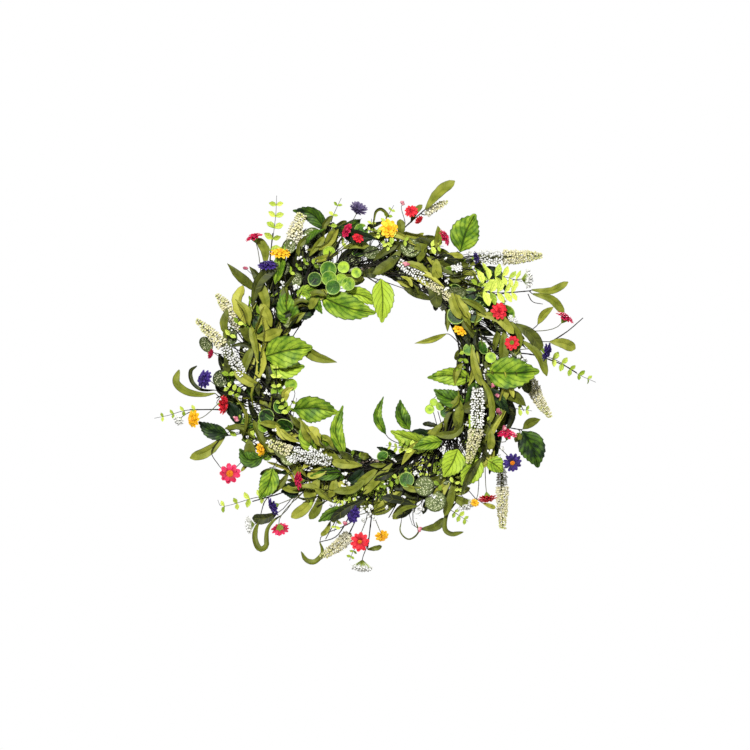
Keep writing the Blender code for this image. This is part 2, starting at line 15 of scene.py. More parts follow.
import bmesh
import bpy
import numpy as np
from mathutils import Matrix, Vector


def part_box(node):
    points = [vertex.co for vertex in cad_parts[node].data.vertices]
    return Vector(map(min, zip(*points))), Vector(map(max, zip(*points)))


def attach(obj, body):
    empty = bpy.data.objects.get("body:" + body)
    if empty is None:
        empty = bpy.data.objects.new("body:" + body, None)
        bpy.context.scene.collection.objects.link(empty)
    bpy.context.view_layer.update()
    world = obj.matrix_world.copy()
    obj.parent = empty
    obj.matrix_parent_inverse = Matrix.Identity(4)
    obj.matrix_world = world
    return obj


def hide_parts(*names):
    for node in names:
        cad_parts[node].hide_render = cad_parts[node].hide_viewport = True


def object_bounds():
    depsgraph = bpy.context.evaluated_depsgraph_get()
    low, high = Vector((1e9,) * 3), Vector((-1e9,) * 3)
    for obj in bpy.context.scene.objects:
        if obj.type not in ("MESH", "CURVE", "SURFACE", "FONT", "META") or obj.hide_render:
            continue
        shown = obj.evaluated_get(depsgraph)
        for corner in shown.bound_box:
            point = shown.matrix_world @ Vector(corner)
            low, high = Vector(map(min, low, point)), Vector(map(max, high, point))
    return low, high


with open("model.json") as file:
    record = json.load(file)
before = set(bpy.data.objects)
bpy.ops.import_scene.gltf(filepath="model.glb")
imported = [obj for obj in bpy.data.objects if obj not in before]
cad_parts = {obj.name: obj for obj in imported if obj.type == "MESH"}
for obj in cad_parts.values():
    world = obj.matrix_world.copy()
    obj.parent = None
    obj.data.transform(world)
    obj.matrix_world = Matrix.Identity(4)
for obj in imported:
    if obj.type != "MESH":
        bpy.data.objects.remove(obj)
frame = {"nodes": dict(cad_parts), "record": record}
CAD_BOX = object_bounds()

MM = 0.001
TINY = 1e-12
BINDINGS = 12
FRONT = np.array((0.0, -1.0, 0.0))
SHARP_FROM = 48
SHORTEST_TWIG = 1.5 * MM
FLORET_PITCH = 2.9 * MM
BEAD_PITCH = 4.2 * MM
GOLDEN_TURN = 2.39996
SPRAY_STEPS = ((9, 1, 16), (18, 6, 20), (28, 14, 18), (36, 22, 14))
TONE_PLACES = (0.05, 0.5, 0.95)
BODY_OF = {node: body for body, nodes in frame["record"]["behaviour"]["bodies"].items() for node in nodes}
SLOT_OF = {part["node"]: part["material_slot"] for part in frame["record"]["subparts"]}

Colour = tuple[float, float, float]
Screen = tuple[int, int, int]
Place = tuple[float, ...]
log = logging.getLogger("wreath")


def srgb(colour: Screen) -> Colour:
    """A screen colour of three numbers up to 255, as linear light."""
    return tuple((c / 255 / 12.92) if c <= 10 else ((c / 255 + 0.055) / 1.055) ** 2.4 for c in colour)


# ---------------------------------------------------------------- shader nodes


class Value:
    """A shader socket that can be used in sums."""

    def __init__(self, board: "NodeBoard", socket: bpy.types.NodeSocket) -> None:
        """Keeps the socket and the board that its nodes are on."""
        self.board = board
        self.socket = socket

    def __add__(self, other: "Value | float") -> "Value":
        """The sum."""
        return self.board.sum_of("ADD", self, other)

    def __sub__(self, other: "Value | float") -> "Value":
        """The difference."""
        return self.board.sum_of("SUBTRACT", self, other)

    def __rsub__(self, other: float) -> "Value":
        """The difference, with the number first."""
        return self.board.sum_of("SUBTRACT", other, self)

    def __mul__(self, other: "Value | float") -> "Value":
        """The product."""
        return self.board.sum_of("MULTIPLY", self, other)

    __radd__ = __add__
    __rmul__ = __mul__

    def away(self) -> "Value":
        """How far it is from nought."""
        return self.board.sum_of("ABSOLUTE", self, 0.0)

    def fraction(self) -> "Value":
        """What is left past the last whole number."""
        return self.board.sum_of("FRACT", self, 0.0)

    def or_more(self, other: "Value | float") -> "Value":
        """The greater of the two."""
        return self.board.sum_of("MAXIMUM", self, other)

    def rise(self, low: float, high: float) -> "Value":
        """A smooth step from 0 at `low` to 1 at `high`."""
        settings = {"interpolation_type": "SMOOTHSTEP"}
        return self.board.value("ShaderNodeMapRange", {0: self, 1: low, 2: high}, settings)


class NodeBoard:
    """A material's node tree and the few kinds of node that the finishes are made of."""

    def __init__(self, name: str) -> None:
        """Makes the material with its one shader."""
        self.material = bpy.data.materials.new(name)
        self.material.use_nodes = True
        self.tree = self.material.node_tree
        self.shader = self.tree.nodes["Principled BSDF"]

    def node(self, kind: str, sockets: dict, settings: dict | None = None) -> bpy.types.Node:
        """A new node.

        Args:
            kind: The node's type.
            sockets: Numbers, colours or values for its input sockets.
            settings: What is set on the node itself, set first.

        Returns:
            The node.
        """
        made = self.tree.nodes.new(kind)
        for key, setting in (settings or {}).items():
            setattr(made, key, setting)
        for key, fed in sockets.items():
            self.feed(made.inputs[key], fed)
        return made

    def value(self, kind: str, sockets: dict, settings: dict | None = None, output: int | str = 0) -> Value:
        """One output of a new node."""
        return Value(self, self.node(kind, sockets, settings).outputs[output])

    def feed(self, socket: bpy.types.NodeSocket, value: object) -> None:
        """Links a value to an input socket, or sets a number or colour there."""
        if isinstance(value, Value):
            self.tree.links.new(value.socket, socket)
        elif isinstance(value, tuple) and len(value) == 3 and socket.type == "RGBA":
            socket.default_value = (*value, 1.0)
        else:
            socket.default_value = value

    def sum_of(self, operation: str, first: object, second: object) -> Value:
        """One Math node."""
        return self.value("ShaderNodeMath", {0: first, 1: second}, {"operation": operation})

    def blend(self, first: object, second: object, share: object) -> Value:
        """The first colour going over to the second as the share rises."""
        return self.value("ShaderNodeMix", {0: share, 6: first, 7: second}, {"data_type": "RGBA"}, 2)

    def tones(self, shade: Value, tones: Sequence[Screen]) -> Value:
        """A deep, a middle and a light colour along a shade of 0 to 1."""
        ramp = self.node("ShaderNodeValToRGB", {0: shade})
        ramp.color_ramp.elements.new(TONE_PLACES[-1])
        for element, place, tone in zip(ramp.color_ramp.elements, TONE_PLACES, tones):
            element.position = place
            element.color = (*srgb(tone), 1.0)
        return Value(self, ramp.outputs[0])

    def tone(self) -> Value:
        """How light this copy of the form is, as the mesh carries it at its points."""
        return self.value("ShaderNodeAttribute", {}, {"attribute_name": "tone"}, "Fac")

    def map_place(self) -> Value:
        """The place on the form's own map."""
        return self.value("ShaderNodeUVMap", {}, {"uv_map": "UVMap"})

    def along_and_across(self) -> tuple[Value, Value]:
        """The two directions of the form's own map."""
        split = self.node("ShaderNodeSeparateXYZ", {0: self.map_place()})
        return Value(self, split.outputs[0]), Value(self, split.outputs[1])

    def from_middle(self) -> Value:
        """How far out on a round form's map, 1 at its rim."""
        sockets = {0: self.map_place(), 1: (0.5, 0.5, 0.0)}
        return self.value("ShaderNodeVectorMath", sockets, {"operation": "DISTANCE"}, "Value") * 2.0

    def in_space(self, kind: str, scale: float, **sockets: float) -> Value:
        """A texture in the object's own space, where `scale` is spots a metre."""
        place = self.value("ShaderNodeTexCoord", {}, {}, "Object")
        return self.value(kind, {"Vector": place, "Scale": scale, **sockets})

    def grain(self, scale: float, detail: float = 2.0) -> Value:
        """Noise."""
        return self.in_space("ShaderNodeTexNoise", scale, Detail=detail)

    def cells(self, scale: float) -> Value:
        """Distance from the middle of small scattered cells."""
        return self.in_space("ShaderNodeTexVoronoi", scale)

    def finish(
        self, colour: Value, roughness: Value | float, height: Value, depth: float, shine: float = 0.25
    ) -> bpy.types.Material:
        """Feeds the shader.

        Args:
            colour: The base colour.
            roughness: The roughness, or one number for all of it.
            height: The relief, 0 to 1.
            depth: How deep the relief is, in metres.
            shine: The specular level, 0.5 for plain plastic.

        Returns:
            The finished material.
        """
        self.feed(self.shader.inputs["Base Color"], colour)
        self.feed(self.shader.inputs["Roughness"], roughness)
        self.shader.inputs["Specular IOR Level"].default_value = shine
        relief = self.value("ShaderNodeBump", {"Strength": 1.0, "Distance": depth, "Height": height})
        self.feed(self.shader.inputs["Normal"], relief)
        return self.material


# ---------------------------------------------------------------- finishes


@dataclass(frozen=True)
class LeafFinish:
    """A printed fabric leaf with a midrib, side veins and a painted shade line along its edge."""

    name: str
    tones: tuple[Screen, Screen, Screen]
    vein: Screen
    veins: float
    slant: float
    vein_share: float
    shade_edge_share: float
    mottle: float
    roughness: float = 0.55

    def material(self) -> bpy.types.Material:
        """The finished material."""
        board = NodeBoard(self.name)
        along, across = board.along_and_across()
        off = (across - 0.5).away() * 2.0
        fine = board.grain(900.0)
        wave = ((along - off * self.slant) * self.veins).fraction()
        from_vein = (wave - 0.5).away() * 2.0
        side = from_vein.rise(0.86, 0.98) * off.rise(1.0, 0.8)
        midrib = off.rise(0.09, 0.02)
        patches = (board.grain(90.0, 3.0) - 0.5) * self.mottle
        # Painted shade: the body darkens towards each side vein, as in the creases of a quilted leaf, and is
        # lighter between them.
        shade = board.tone() * 1.15 + patches + from_vein * -0.14 + fine * 0.14 - 0.06
        body = board.tones(shade, self.tones)
        veined = board.blend(body, srgb(self.vein), (side * 0.75).or_more(midrib) * self.vein_share)
        # Painted shade: towards both long edges the leaf goes over to its deep colour, standing for the dark
        # lines between leaves.
        shade_edged = board.blend(veined, srgb(self.tones[0]), off.rise(0.88, 1.0) * self.shade_edge_share)
        height = fine * 0.1 - (side * 0.6).or_more(midrib) * self.vein_share * 1.4
        return board.finish(shade_edged, self.roughness + fine * 0.1, height, 0.6 * MM)


@dataclass(frozen=True)
class DiscFinish:
    """A round leaf: a printed rim and net of dots round a short midrib."""

    name: str
    tones: tuple[Screen, Screen, Screen]
    rim: Screen
    dots: Screen
    dot_share: float
    rim_share: float = 0.6
    roughness: float = 0.55

    def material(self) -> bpy.types.Material:
        """The finished material."""
        board = NodeBoard(self.name)
        along, across = board.along_and_across()
        out = board.from_middle()
        dot = board.cells(560.0)
        # Painted shade: the leaf is darker towards its middle, in the hollow of its cup, and lighter towards
        # its rim.
        shade = board.tone() * 0.8 + board.grain(170.0, 4.0) + out * 0.2 - 0.52
        dotted = dot.rise(0.42, 0.18) * out.rise(0.98, 0.85) * self.dot_share
        spotted = board.blend(board.tones(shade, self.tones), srgb(self.dots), dotted)
        midrib = (across - 0.5).away().rise(0.03, 0.008) * along.rise(0.7, 0.3) * 0.25
        ribbed = board.blend(spotted, srgb(self.rim), midrib)
        edge = out.rise(0.84, 0.93)
        rimmed = board.blend(ribbed, srgb(self.rim), edge * self.rim_share)
        return board.finish(rimmed, self.roughness, dot * 0.6 + edge, 0.4 * MM)


@dataclass(frozen=True)
class PetalFinish:
    """A petal, darker towards its foot, with fine streaks along it."""

    name: str
    tones: tuple[Screen, Screen, Screen]
    roughness: float = 0.5

    def material(self) -> bpy.types.Material:
        """The finished material."""
        board = NodeBoard(self.name)
        along, across = board.along_and_across()
        streak = ((across * 5.0).fraction() - 0.5).away() * 2.0
        soft = board.grain(500.0)
        shade = along * 0.6 + board.tone() * 0.6 + streak * 0.1 + soft * 0.25 - 0.34
        height = streak * 0.5 + soft * 0.5
        body = board.tones(shade, self.tones)
        return board.finish(body, self.roughness + soft * 0.1, height, 0.3 * MM, 0.3)


@dataclass(frozen=True)
class GrainFinish:
    """A fine-grained finish for stems, eyes, florets and tape, shaded by each copy's tone."""

    name: str
    tones: tuple[Screen, Screen, Screen]
    scale: float = 600.0
    relief: float = 0.4 * MM
    roughness: float = 0.7
    mottle: float = 0.7
    metallic: float = 0.0

    def material(self) -> bpy.types.Material:
        """The finished material."""
        board = NodeBoard(self.name)
        grain = board.grain(self.scale, 3.0)
        pits = board.cells(self.scale * 1.6)
        shade = board.tone() * 0.8 + grain * self.mottle + 0.1 - self.mottle * 0.5
        board.shader.inputs["Metallic"].default_value = self.metallic
        body = board.tones(shade, self.tones)
        return board.finish(body, self.roughness + grain * 0.12, grain + pits * 0.5, self.relief)


class Finish(Enum):
    """Every finish on the wreath, with its deep, middle and light colours."""

    MINT = LeafFinish(
        "mint_leaf_cloth",
        ((8, 30, 4), (72, 106, 12), (146, 170, 44)),
        vein=(16, 32, 6),
        veins=6.0,
        slant=0.42,
        vein_share=0.7,
        shade_edge_share=0.75,
        mottle=1.3,
    )
    STRAP = LeafFinish(
        "strap_leaf_cloth",
        ((20, 27, 5), (98, 106, 24), (156, 156, 58)),
        vein=(136, 140, 60),
        veins=3.0,
        slant=0.1,
        vein_share=0.25,
        shade_edge_share=0.75,
        mottle=0.35,
    )
    FERN = LeafFinish(
        "fern_leaflet_cloth",
        ((50, 74, 12), (124, 150, 32), (190, 204, 84)),
        vein=(96, 122, 30),
        veins=4.0,
        slant=0.3,
        vein_share=0.4,
        shade_edge_share=0.4,
        mottle=0.6,
    )
    EUCALYPTUS = DiscFinish(
        "eucalyptus_cloth",
        ((20, 28, 14), (82, 94, 50), (122, 132, 80)),
        rim=(44, 54, 24),
        dots=(210, 212, 172),
        dot_share=0.95,
        roughness=0.7,
    )
    COIN = DiscFinish(
        "coin_leaf_cloth",
        ((4, 20, 9), (52, 96, 16), (156, 184, 48)),
        rim=(170, 194, 100),
        dots=(110, 146, 50),
        dot_share=0.2,
    )
    RED = PetalFinish("petal_red", ((96, 4, 14), (188, 16, 34), (224, 44, 56)))
    CRIMSON = PetalFinish("petal_crimson", ((90, 4, 30), (180, 14, 58), (214, 46, 96)))
    PURPLE = PetalFinish("petal_purple", ((14, 6, 38), (38, 22, 84), (72, 50, 134)))
    MAUVE = PetalFinish("petal_grey_mauve", ((34, 28, 52), (76, 66, 100), (120, 108, 138)))
    YELLOW = PetalFinish("petal_yellow", ((176, 100, 4), (226, 166, 14), (244, 200, 54)))
    EYE = GrainFinish("flower_eye", ((140, 60, 4), (224, 130, 14), (244, 186, 50)), 1500.0, 0.6 * MM)
    GREEN_EYE = GrainFinish(
        "flower_green_eye", ((50, 76, 14), (116, 144, 40), (176, 188, 76)), 1500.0, 0.6 * MM
    )
    CALYX = GrainFinish("calyx_green", ((46, 66, 12), (104, 128, 34), (160, 176, 70)))
    CREAM = GrainFinish(
        "spike_floret", ((206, 204, 188), (204, 198, 160), (180, 186, 102)), 700.0, 0.3 * MM, 0.75, 0.35
    )
    CORE = GrainFinish("spike_core", ((56, 60, 36), (118, 118, 78), (168, 166, 124)), 700.0)
    WHITE = GrainFinish(
        "umbel_floret", ((164, 164, 156), (204, 204, 198), (228, 228, 226)), 700.0, 0.2 * MM, 0.7, 0.3
    )
    BUD = GrainFinish("bud_pink", ((104, 40, 56), (176, 90, 110), (210, 156, 156)))
    STEM = GrainFinish("stem_wrap", ((6, 5, 3), (26, 24, 13), (88, 92, 38)), 260.0, 0.4 * MM, 0.75)
    BARK = GrainFinish("vine_bark", ((8, 6, 4), (34, 26, 18), (80, 64, 44)), 200.0, 1.0 * MM, 0.85)
    TAPE = GrainFinish("binding_tape", ((20, 26, 10), (46, 56, 20), (80, 92, 40)), 420.0, 0.5 * MM, 0.8)
    STEEL = GrainFinish(
        "hoop_steel", ((70, 68, 64), (120, 118, 112), (170, 168, 160)), 900.0, 0.1 * MM, 0.35, metallic=0.9
    )
    FLOOR = GrainFinish("floor_paint", ((226, 226, 224), (236, 236, 234), (244, 244, 242)), 30.0, 0.2 * MM)

    def material(self) -> bpy.types.Material:
        """The one material of this name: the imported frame's own if it has one, or else the finish's."""
        return bpy.data.materials.get(self.value.name) or self.value.material()


# ---------------------------------------------------------------- forms


@dataclass(frozen=True)
class Form:
    """A shape that is copied: it runs along X from 0 to 1, or stands up Z from its foot."""

    points: np.ndarray
    corners: np.ndarray
    sides: np.ndarray
    map: np.ndarray


class Bench:
    """One primitive on the bench, shaped in edit mode and then taken off as a form."""

    def __init__(self, add: Callable, **sizes: object) -> None:
        """Adds the primitive with nothing else selected."""
        bpy.ops.object.select_all(action="DESELECT")
        add(**sizes)
        self.obj = bpy.context.object
        bpy.ops.object.mode_set(mode="EDIT")

    def select(self, mode: str, test: Callable) -> None:
        """Selects only the points, edges or faces that pass a test.

        Args:
            mode: VERT, EDGE or FACE.
            test: Says of each one whether it is wanted.
        """
        bpy.ops.mesh.select_mode(type=mode)
        bpy.ops.mesh.select_all(action="DESELECT")
        mesh = bmesh.from_edit_mesh(self.obj.data)
        for item in {"VERT": mesh.verts, "EDGE": mesh.edges, "FACE": mesh.faces}[mode]:
            item.select = bool(test(item))
        mesh.select_flush_mode()
        bmesh.update_edit_mesh(self.obj.data)

    def points(self, test: Callable) -> None:
        """Selects only the points whose place passes the test."""
        self.select("VERT", lambda item: test(item.co))

    def faces(self, test: Callable) -> None:
        """Selects only the faces whose normal passes the test."""
        self.select("FACE", lambda item: test(item.normal))

    def column(self, x: float, reach: float, low: float = -1.0, high: float = math.inf) -> None:
        """Selects a form's points near a place along it.

        Args:
            x: The place, 0 to 1.
            reach: How near they are.
            low: How far off the middle line they are at least.
            high: How far off the middle line they are at most.
        """
        self.points(lambda p: abs(p.x + 0.5 - x) < reach and low < abs(p.y) < high)

    def size(self, factors: Place, about: Place = (0, 0, 0)) -> None:
        """Scales what is selected about a point."""
        bpy.ops.transform.resize(value=factors, center_override=about)

    def move(self, by: Place) -> None:
        """Moves what is selected."""
        bpy.ops.transform.translate(value=by)

    def inset(self, thickness: float, depth: float = 0.0, each: bool = False) -> None:
        """Insets the faces that are selected, together or each by itself."""
        bpy.ops.mesh.inset(thickness=thickness, depth=depth, use_individual=each)

    def thicken(self, thickness: float) -> None:
        """Gives a sheet its wall, half to each side."""
        bpy.ops.object.mode_set(mode="OBJECT")
        wall = self.obj.modifiers.new("wall", "SOLIDIFY")
        wall.thickness = thickness
        wall.offset = 0.0
        bpy.ops.object.modifier_apply(modifier="wall")

    def take(self, mapped: Callable | None = None) -> Form:
        """The shape as a form. The object is removed.

        Args:
            mapped: Where a point lies on the map, if the primitive's own map isn't kept.

        Returns:
            The form.
        """
        bpy.ops.object.mode_set(mode="OBJECT")
        mesh = self.obj.data
        points = np.empty(len(mesh.vertices) * 3)
        mesh.vertices.foreach_get("co", points)
        points = points.reshape(-1, 3) + np.array(self.obj.location)
        corners = np.empty(len(mesh.loops), np.int64)
        mesh.loops.foreach_get("vertex_index", corners)
        sides = np.empty(len(mesh.polygons), np.int64)
        mesh.polygons.foreach_get("loop_total", sides)
        spread = np.zeros((len(points), 2))
        if mapped:
            spread = np.array([mapped(point) for point in points])
        else:
            flat = np.empty(len(mesh.loops) * 2)
            mesh.uv_layers[0].data.foreach_get("uv", flat)
            spread[corners] = flat.reshape(-1, 2)
        bpy.data.objects.remove(self.obj, do_unlink=True)
        return Form(points, corners, sides, spread)


@dataclass(frozen=True)
class BladeShape:
    """The outline and relief of one kind of leaf or petal, over its length of 1 and width of 1."""

    stations: tuple[Place, ...]
    columns: int
    rows: int
    fold: float
    wall: float
    cup: float = 0.0
    tooth: float = 0.0
    quilt: float = 0.0
    tooth_lean: float = 0.55

    def form(self) -> Form:
        """Shapes a grid column by column."""
        grid = {"x_subdivisions": self.columns, "y_subdivisions": self.rows, "size": 1}
        bench = Bench(bpy.ops.mesh.primitive_grid_add, **grid, location=(0.5, 0, 0))
        step = 1 / self.columns
        for column in range(self.columns + 1):
            x = column * step
            width = float(np.interp(x, *zip(*self.stations)))
            toothed = column % 2 == 1 and column < self.columns
            bench.column(x, step / 4)
            bench.size((1, width * (1 + self.tooth if toothed else 1), 1), (x, 0, 0))
            if toothed and self.tooth:
                bench.column(x, step / 4, width * 0.45)
                bench.move((step * self.tooth_lean, 0, 0))
            if toothed and self.quilt:
                bench.column(x, step, width * 0.1, width * 0.4)
                bench.move((0, 0, self.quilt))
            for row in range(1, self.rows // 2 + 1):
                out = row / (self.rows / 2)
                bench.column(x, step, width * (out / 2 - 0.08), width * (out / 2 + 0.08))
                bench.move((0, 0, width * (self.fold * out + self.cup * out * out)))
        bench.thicken(self.wall)
        return bench.take()


def clock_part(point: Vector, parts: int) -> int:
    """Which of some equal parts of the turn round Z a point is nearest to."""
    return round(math.atan2(point.y, point.x) / math.tau * parts)


class Forms:
    """Every form, modelled once."""

    def __init__(self) -> None:
        """Models them all."""
        mint = ((0, 0.06), (0.06, 0.36), (0.18, 0.78), (0.36, 1.0), (0.55, 0.92), (0.75, 0.6))
        mint = mint + ((0.9, 0.24), (1, 0.02))
        strap = ((0, 0.16), (0.15, 0.5), (0.4, 0.86), (0.65, 1.0), (0.85, 0.86), (0.95, 0.5), (1, 0.12))
        point = ((0, 0.14), (0.2, 0.7), (0.45, 1.0), (0.7, 0.74), (0.9, 0.28), (1, 0.02))
        fern = ((0, 0.1), (0.3, 0.9), (0.65, 1.0), (0.9, 0.6), (1, 0.2))
        petal = ((0, 0.3), (0.4, 0.76), (0.75, 1.0), (0.92, 0.84), (1, 0.42))
        self.mint = BladeShape(mint, 18, 6, 0.16, 0.022, -0.06, 0.07, 0.022).form()
        self.strap = BladeShape(strap, 10, 4, 0.16, 0.05, -0.02).form()
        self.ribbon = BladeShape(strap, 26, 2, 0.12, 0.05).form()
        self.point = BladeShape(point, 10, 4, 0.2, 0.05).form()
        self.fern = BladeShape(fern, 3, 2, 0.14, 0.07).form()
        self.petal = BladeShape(petal, 4, 2, 0.12, 0.06).form()
        self.disc = self.round_leaf()
        self.twig = self.rod(6, 9)
        self.stem = self.rod(8, 40)
        self.vine = self.rod(10, 300)
        self.ray = self.rod(3, 0)
        self.eye = self.flower_eye()
        self.calyx = self.flower_calyx()
        self.floret = self.spike_floret()
        self.star = self.umbel_star()
        self.bead = self.bud_bead()
        self.band = self.tape_band()

    def round_leaf(self) -> Form:
        """A round leaf, cupped inside its rim, whose foot is at the start of X."""
        circle = {"vertices": 16, "radius": 0.5, "fill_type": "NGON"}
        bench = Bench(bpy.ops.mesh.primitive_circle_add, **circle, location=(0.5, 0, 0))
        bench.faces(lambda n: True)
        bench.inset(0.05)
        bench.move((0, 0, -0.02))
        bench.inset(0.2)
        bench.move((0, 0, -0.04))
        bpy.ops.mesh.poke()
        bench.points(lambda p: p.x < -0.48)
        bench.move((-0.03, 0, 0))
        bench.thicken(0.035)
        return bench.take(lambda p: (p[0], p[1] + 0.5))

    def rod(self, sides: int, cuts: int) -> Form:
        """A stem of diameter 1 along X, with a few small knots.

        Args:
            sides: How many sides it has.
            cuts: How many cuts along it let it bend. A rod with none stays straight.

        Returns:
            The rod.
        """
        cylinder = {"vertices": sides, "radius": 0.5, "depth": 1}
        bench = Bench(bpy.ops.mesh.primitive_cylinder_add, **cylinder, location=(0.5, 0, 0))
        bpy.ops.transform.rotate(value=math.pi / 2, orient_axis="Y", center_override=(0.5, 0, 0))
        if cuts:
            bench.select("EDGE", lambda edge: abs(edge.verts[0].co.x - edge.verts[1].co.x) > 0.5)
            bpy.ops.mesh.subdivide(number_cuts=cuts)
            for knot in range(3, cuts, 7):
                x = knot / (cuts + 1)
                bench.column(x, 0.3 / cuts)
                bench.size((1, 1.22, 1.22), (x, 0, 0))
        return bench.take(lambda p: (p[0], math.atan2(p[2], p[1]) / math.tau + 0.5))

    def flower_eye(self) -> Form:
        """The domed middle of a daisy, with raised grains."""
        bench = Bench(bpy.ops.mesh.primitive_uv_sphere_add, segments=10, ring_count=6, radius=1)
        bench.size((1, 1, 0.55))
        bench.select("FACE", lambda face: face.calc_center_median().z > 0.05)
        bench.inset(0.08, 0.09, each=True)
        return bench.take(lambda p: (p[0] / 2 + 0.5, p[1] / 2 + 0.5))

    def flower_calyx(self) -> Form:
        """The green cup behind a daisy, with sepal points round its rim. Its foot is at Z -1."""
        cone = {"vertices": 12, "radius1": 0.16, "radius2": 0.62, "depth": 1}
        bench = Bench(bpy.ops.mesh.primitive_cone_add, **cone, location=(0, 0, -0.5))
        bench.faces(lambda n: n.z > 0.9)
        bench.inset(0.12, -0.1)
        bench.points(lambda p: p.z > 0.45 and math.hypot(p.x, p.y) > 0.55 and clock_part(p, 12) % 2 == 0)
        bench.size((1.45, 1.45, 1))
        bench.move((0, 0, 0.14))
        return bench.take(lambda p: (p[0] / 2 + 0.5, p[1] / 2 + 0.5))

    def spike_floret(self) -> Form:
        """A small five-sided bell that opens up Z."""
        cone = {"vertices": 5, "radius1": 0.12, "radius2": 0.5, "depth": 0.8}
        bench = Bench(bpy.ops.mesh.primitive_cone_add, **cone, location=(0, 0, 0.4))
        bench.faces(lambda n: n.z > 0.9)
        bench.inset(0.16, -0.3)
        return bench.take(lambda p: (p[2], p[1] + 0.5))

    def umbel_star(self) -> Form:
        """A flat five-pointed floret that opens up Z."""
        bench = Bench(bpy.ops.mesh.primitive_circle_add, vertices=10, radius=0.5, fill_type="NGON")
        bench.points(lambda p: clock_part(p, 10) % 2 == 0)
        bench.size((0.55, 0.55, 1))
        bench.faces(lambda n: True)
        bench.inset(0.14)
        bench.move((0, 0, -0.12))
        bench.thicken(0.08)
        return bench.take(lambda p: (math.hypot(p[0], p[1]) * 2, 0.5))

    def bud_bead(self) -> Form:
        """A closed bud that comes to a blunt point up Z."""
        bench = Bench(bpy.ops.mesh.primitive_ico_sphere_add, subdivisions=1, radius=0.5)
        bench.points(lambda p: p.z > 0.4)
        bench.move((0, 0, 0.2))
        bench.points(lambda p: p.z < -0.4)
        bench.size((0.6, 0.6, 1.3))
        return bench.take(lambda p: (p[2] + 0.5, p[1] + 0.5))

    def tape_band(self) -> Form:
        """One turn of tape round Z, of radius 1 and width 1, with soft edges."""
        bench = Bench(bpy.ops.mesh.primitive_cylinder_add, vertices=28, radius=1, depth=1)
        bench.faces(lambda n: abs(n.z) > 0.9)
        bench.inset(0.04, 0.05)
        bench.inset(0.05)
        bpy.ops.mesh.delete(type="FACE")
        bench.select("EDGE", lambda edge: edge.is_boundary)
        bpy.ops.mesh.bridge_edge_loops()
        bpy.ops.mesh.select_all(action="SELECT")
        bpy.ops.mesh.normals_make_consistent(inside=False)
        return bench.take(lambda p: (math.atan2(p[1], p[0]) / math.tau + 0.5, p[2] + 0.5))


# ---------------------------------------------------------------- places, lines and pieces


@dataclass(frozen=True)
class Ring:
    """Where the ring lies, read from the frame, and the bundle's sizes round it."""

    centre: np.ndarray
    radius: float
    binding_clocks: tuple[float, ...]
    helix_radius: float = 4.05 * MM
    foot_offset: float = 7.95 * MM
    tape_radius: float = 9.6 * MM
    foot_length: float = 18 * MM
    vine_turns: int = 5

    @classmethod
    def read(cls) -> "Ring":
        """The ring as the hoop's and the bindings' own boxes give it."""
        low, high = (np.array(corner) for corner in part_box("wire_hoop"))
        centre = (low + high) / 2
        radius = (high[0] - low[0]) / 2 - (high[1] - low[1]) / 2
        clocks = []
        for number in range(BINDINGS):
            low, high = (np.array(corner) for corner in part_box(f"binding_{number + 1}"))
            middle = (low + high) / 2 - centre
            clocks.append(math.atan2(middle[0], middle[2]))
        return cls(centre, radius, tuple(clocks))

    def board(self, x: float, z: float, forward: float = 0.0) -> np.ndarray:
        """A board place in millimetres as a point in the frame."""
        return self.centre + np.array((x, -forward, z)) * MM

    def outward(self, clock: float) -> np.ndarray:
        """Away from the middle of the ring at this clock angle."""
        return np.array((math.sin(clock), 0, math.cos(clock)))

    def along(self, clock: float) -> np.ndarray:
        """Clockwise round the ring as seen from the front."""
        return np.array((math.cos(clock), 0, -math.sin(clock)))

    def around(self, clock: float, turn: float, distance: float) -> np.ndarray:
        """A point off the hoop's line.

        Args:
            clock: Where along the hoop, clockwise from its top, in radians.
            turn: Which way from the hoop. 0 is in front, and a right angle outside.
            distance: How far from the hoop, in metres.

        Returns:
            The point.
        """
        off = np.array((0, -math.cos(turn), 0)) + self.outward(clock) * math.sin(turn)
        return self.centre + self.outward(clock) * self.radius + off * distance

    def past(self, binding: int, degrees: float, out: float, forward: float) -> Place:
        """A board place beside the ring.

        Args:
            binding: The binding that it is counted from.
            degrees: How far past that binding it is, clockwise.
            out: How far outside the ring's own line it is, in millimetres.
            forward: How far forward it is, in millimetres.

        Returns:
            The board place.
        """
        clock = self.binding_clocks[binding] + math.radians(degrees)
        far = self.radius / MM + out
        return (math.sin(clock) * far, math.cos(clock) * far, forward)


def unit(vector: Sequence[float]) -> np.ndarray:
    """The vector at length 1."""
    made = np.asarray(vector, float)
    return made / max(float(np.linalg.norm(made)), TINY)


def units(vectors: np.ndarray) -> np.ndarray:
    """Each of the vectors at length 1."""
    return vectors / np.maximum(np.linalg.norm(vectors, axis=-1, keepdims=True), TINY)


def facing(look: Place) -> np.ndarray:
    """The direction of a look that is given as x, z and forward on the board."""
    return unit((look[0], -look[2], look[1]))


def turned_to(look: np.ndarray, spin: float = 0.0) -> np.ndarray:
    """Three axes, as columns, whose third is `look`, spun about it."""
    hint = np.array((0.0, 0.0, 1.0)) if abs(look[2]) < 0.9 else np.array((1.0, 0.0, 0.0))
    side = unit(np.cross(hint, look))
    up = np.cross(look, side)
    first = side * math.cos(spin) + up * math.sin(spin)
    return np.stack((first, np.cross(look, first), look), axis=1)


def spoke(axes: np.ndarray, turn: float) -> np.ndarray:
    """The direction at some turn round the third of three axes."""
    return axes[:, 0] * math.cos(turn) + axes[:, 1] * math.sin(turn)


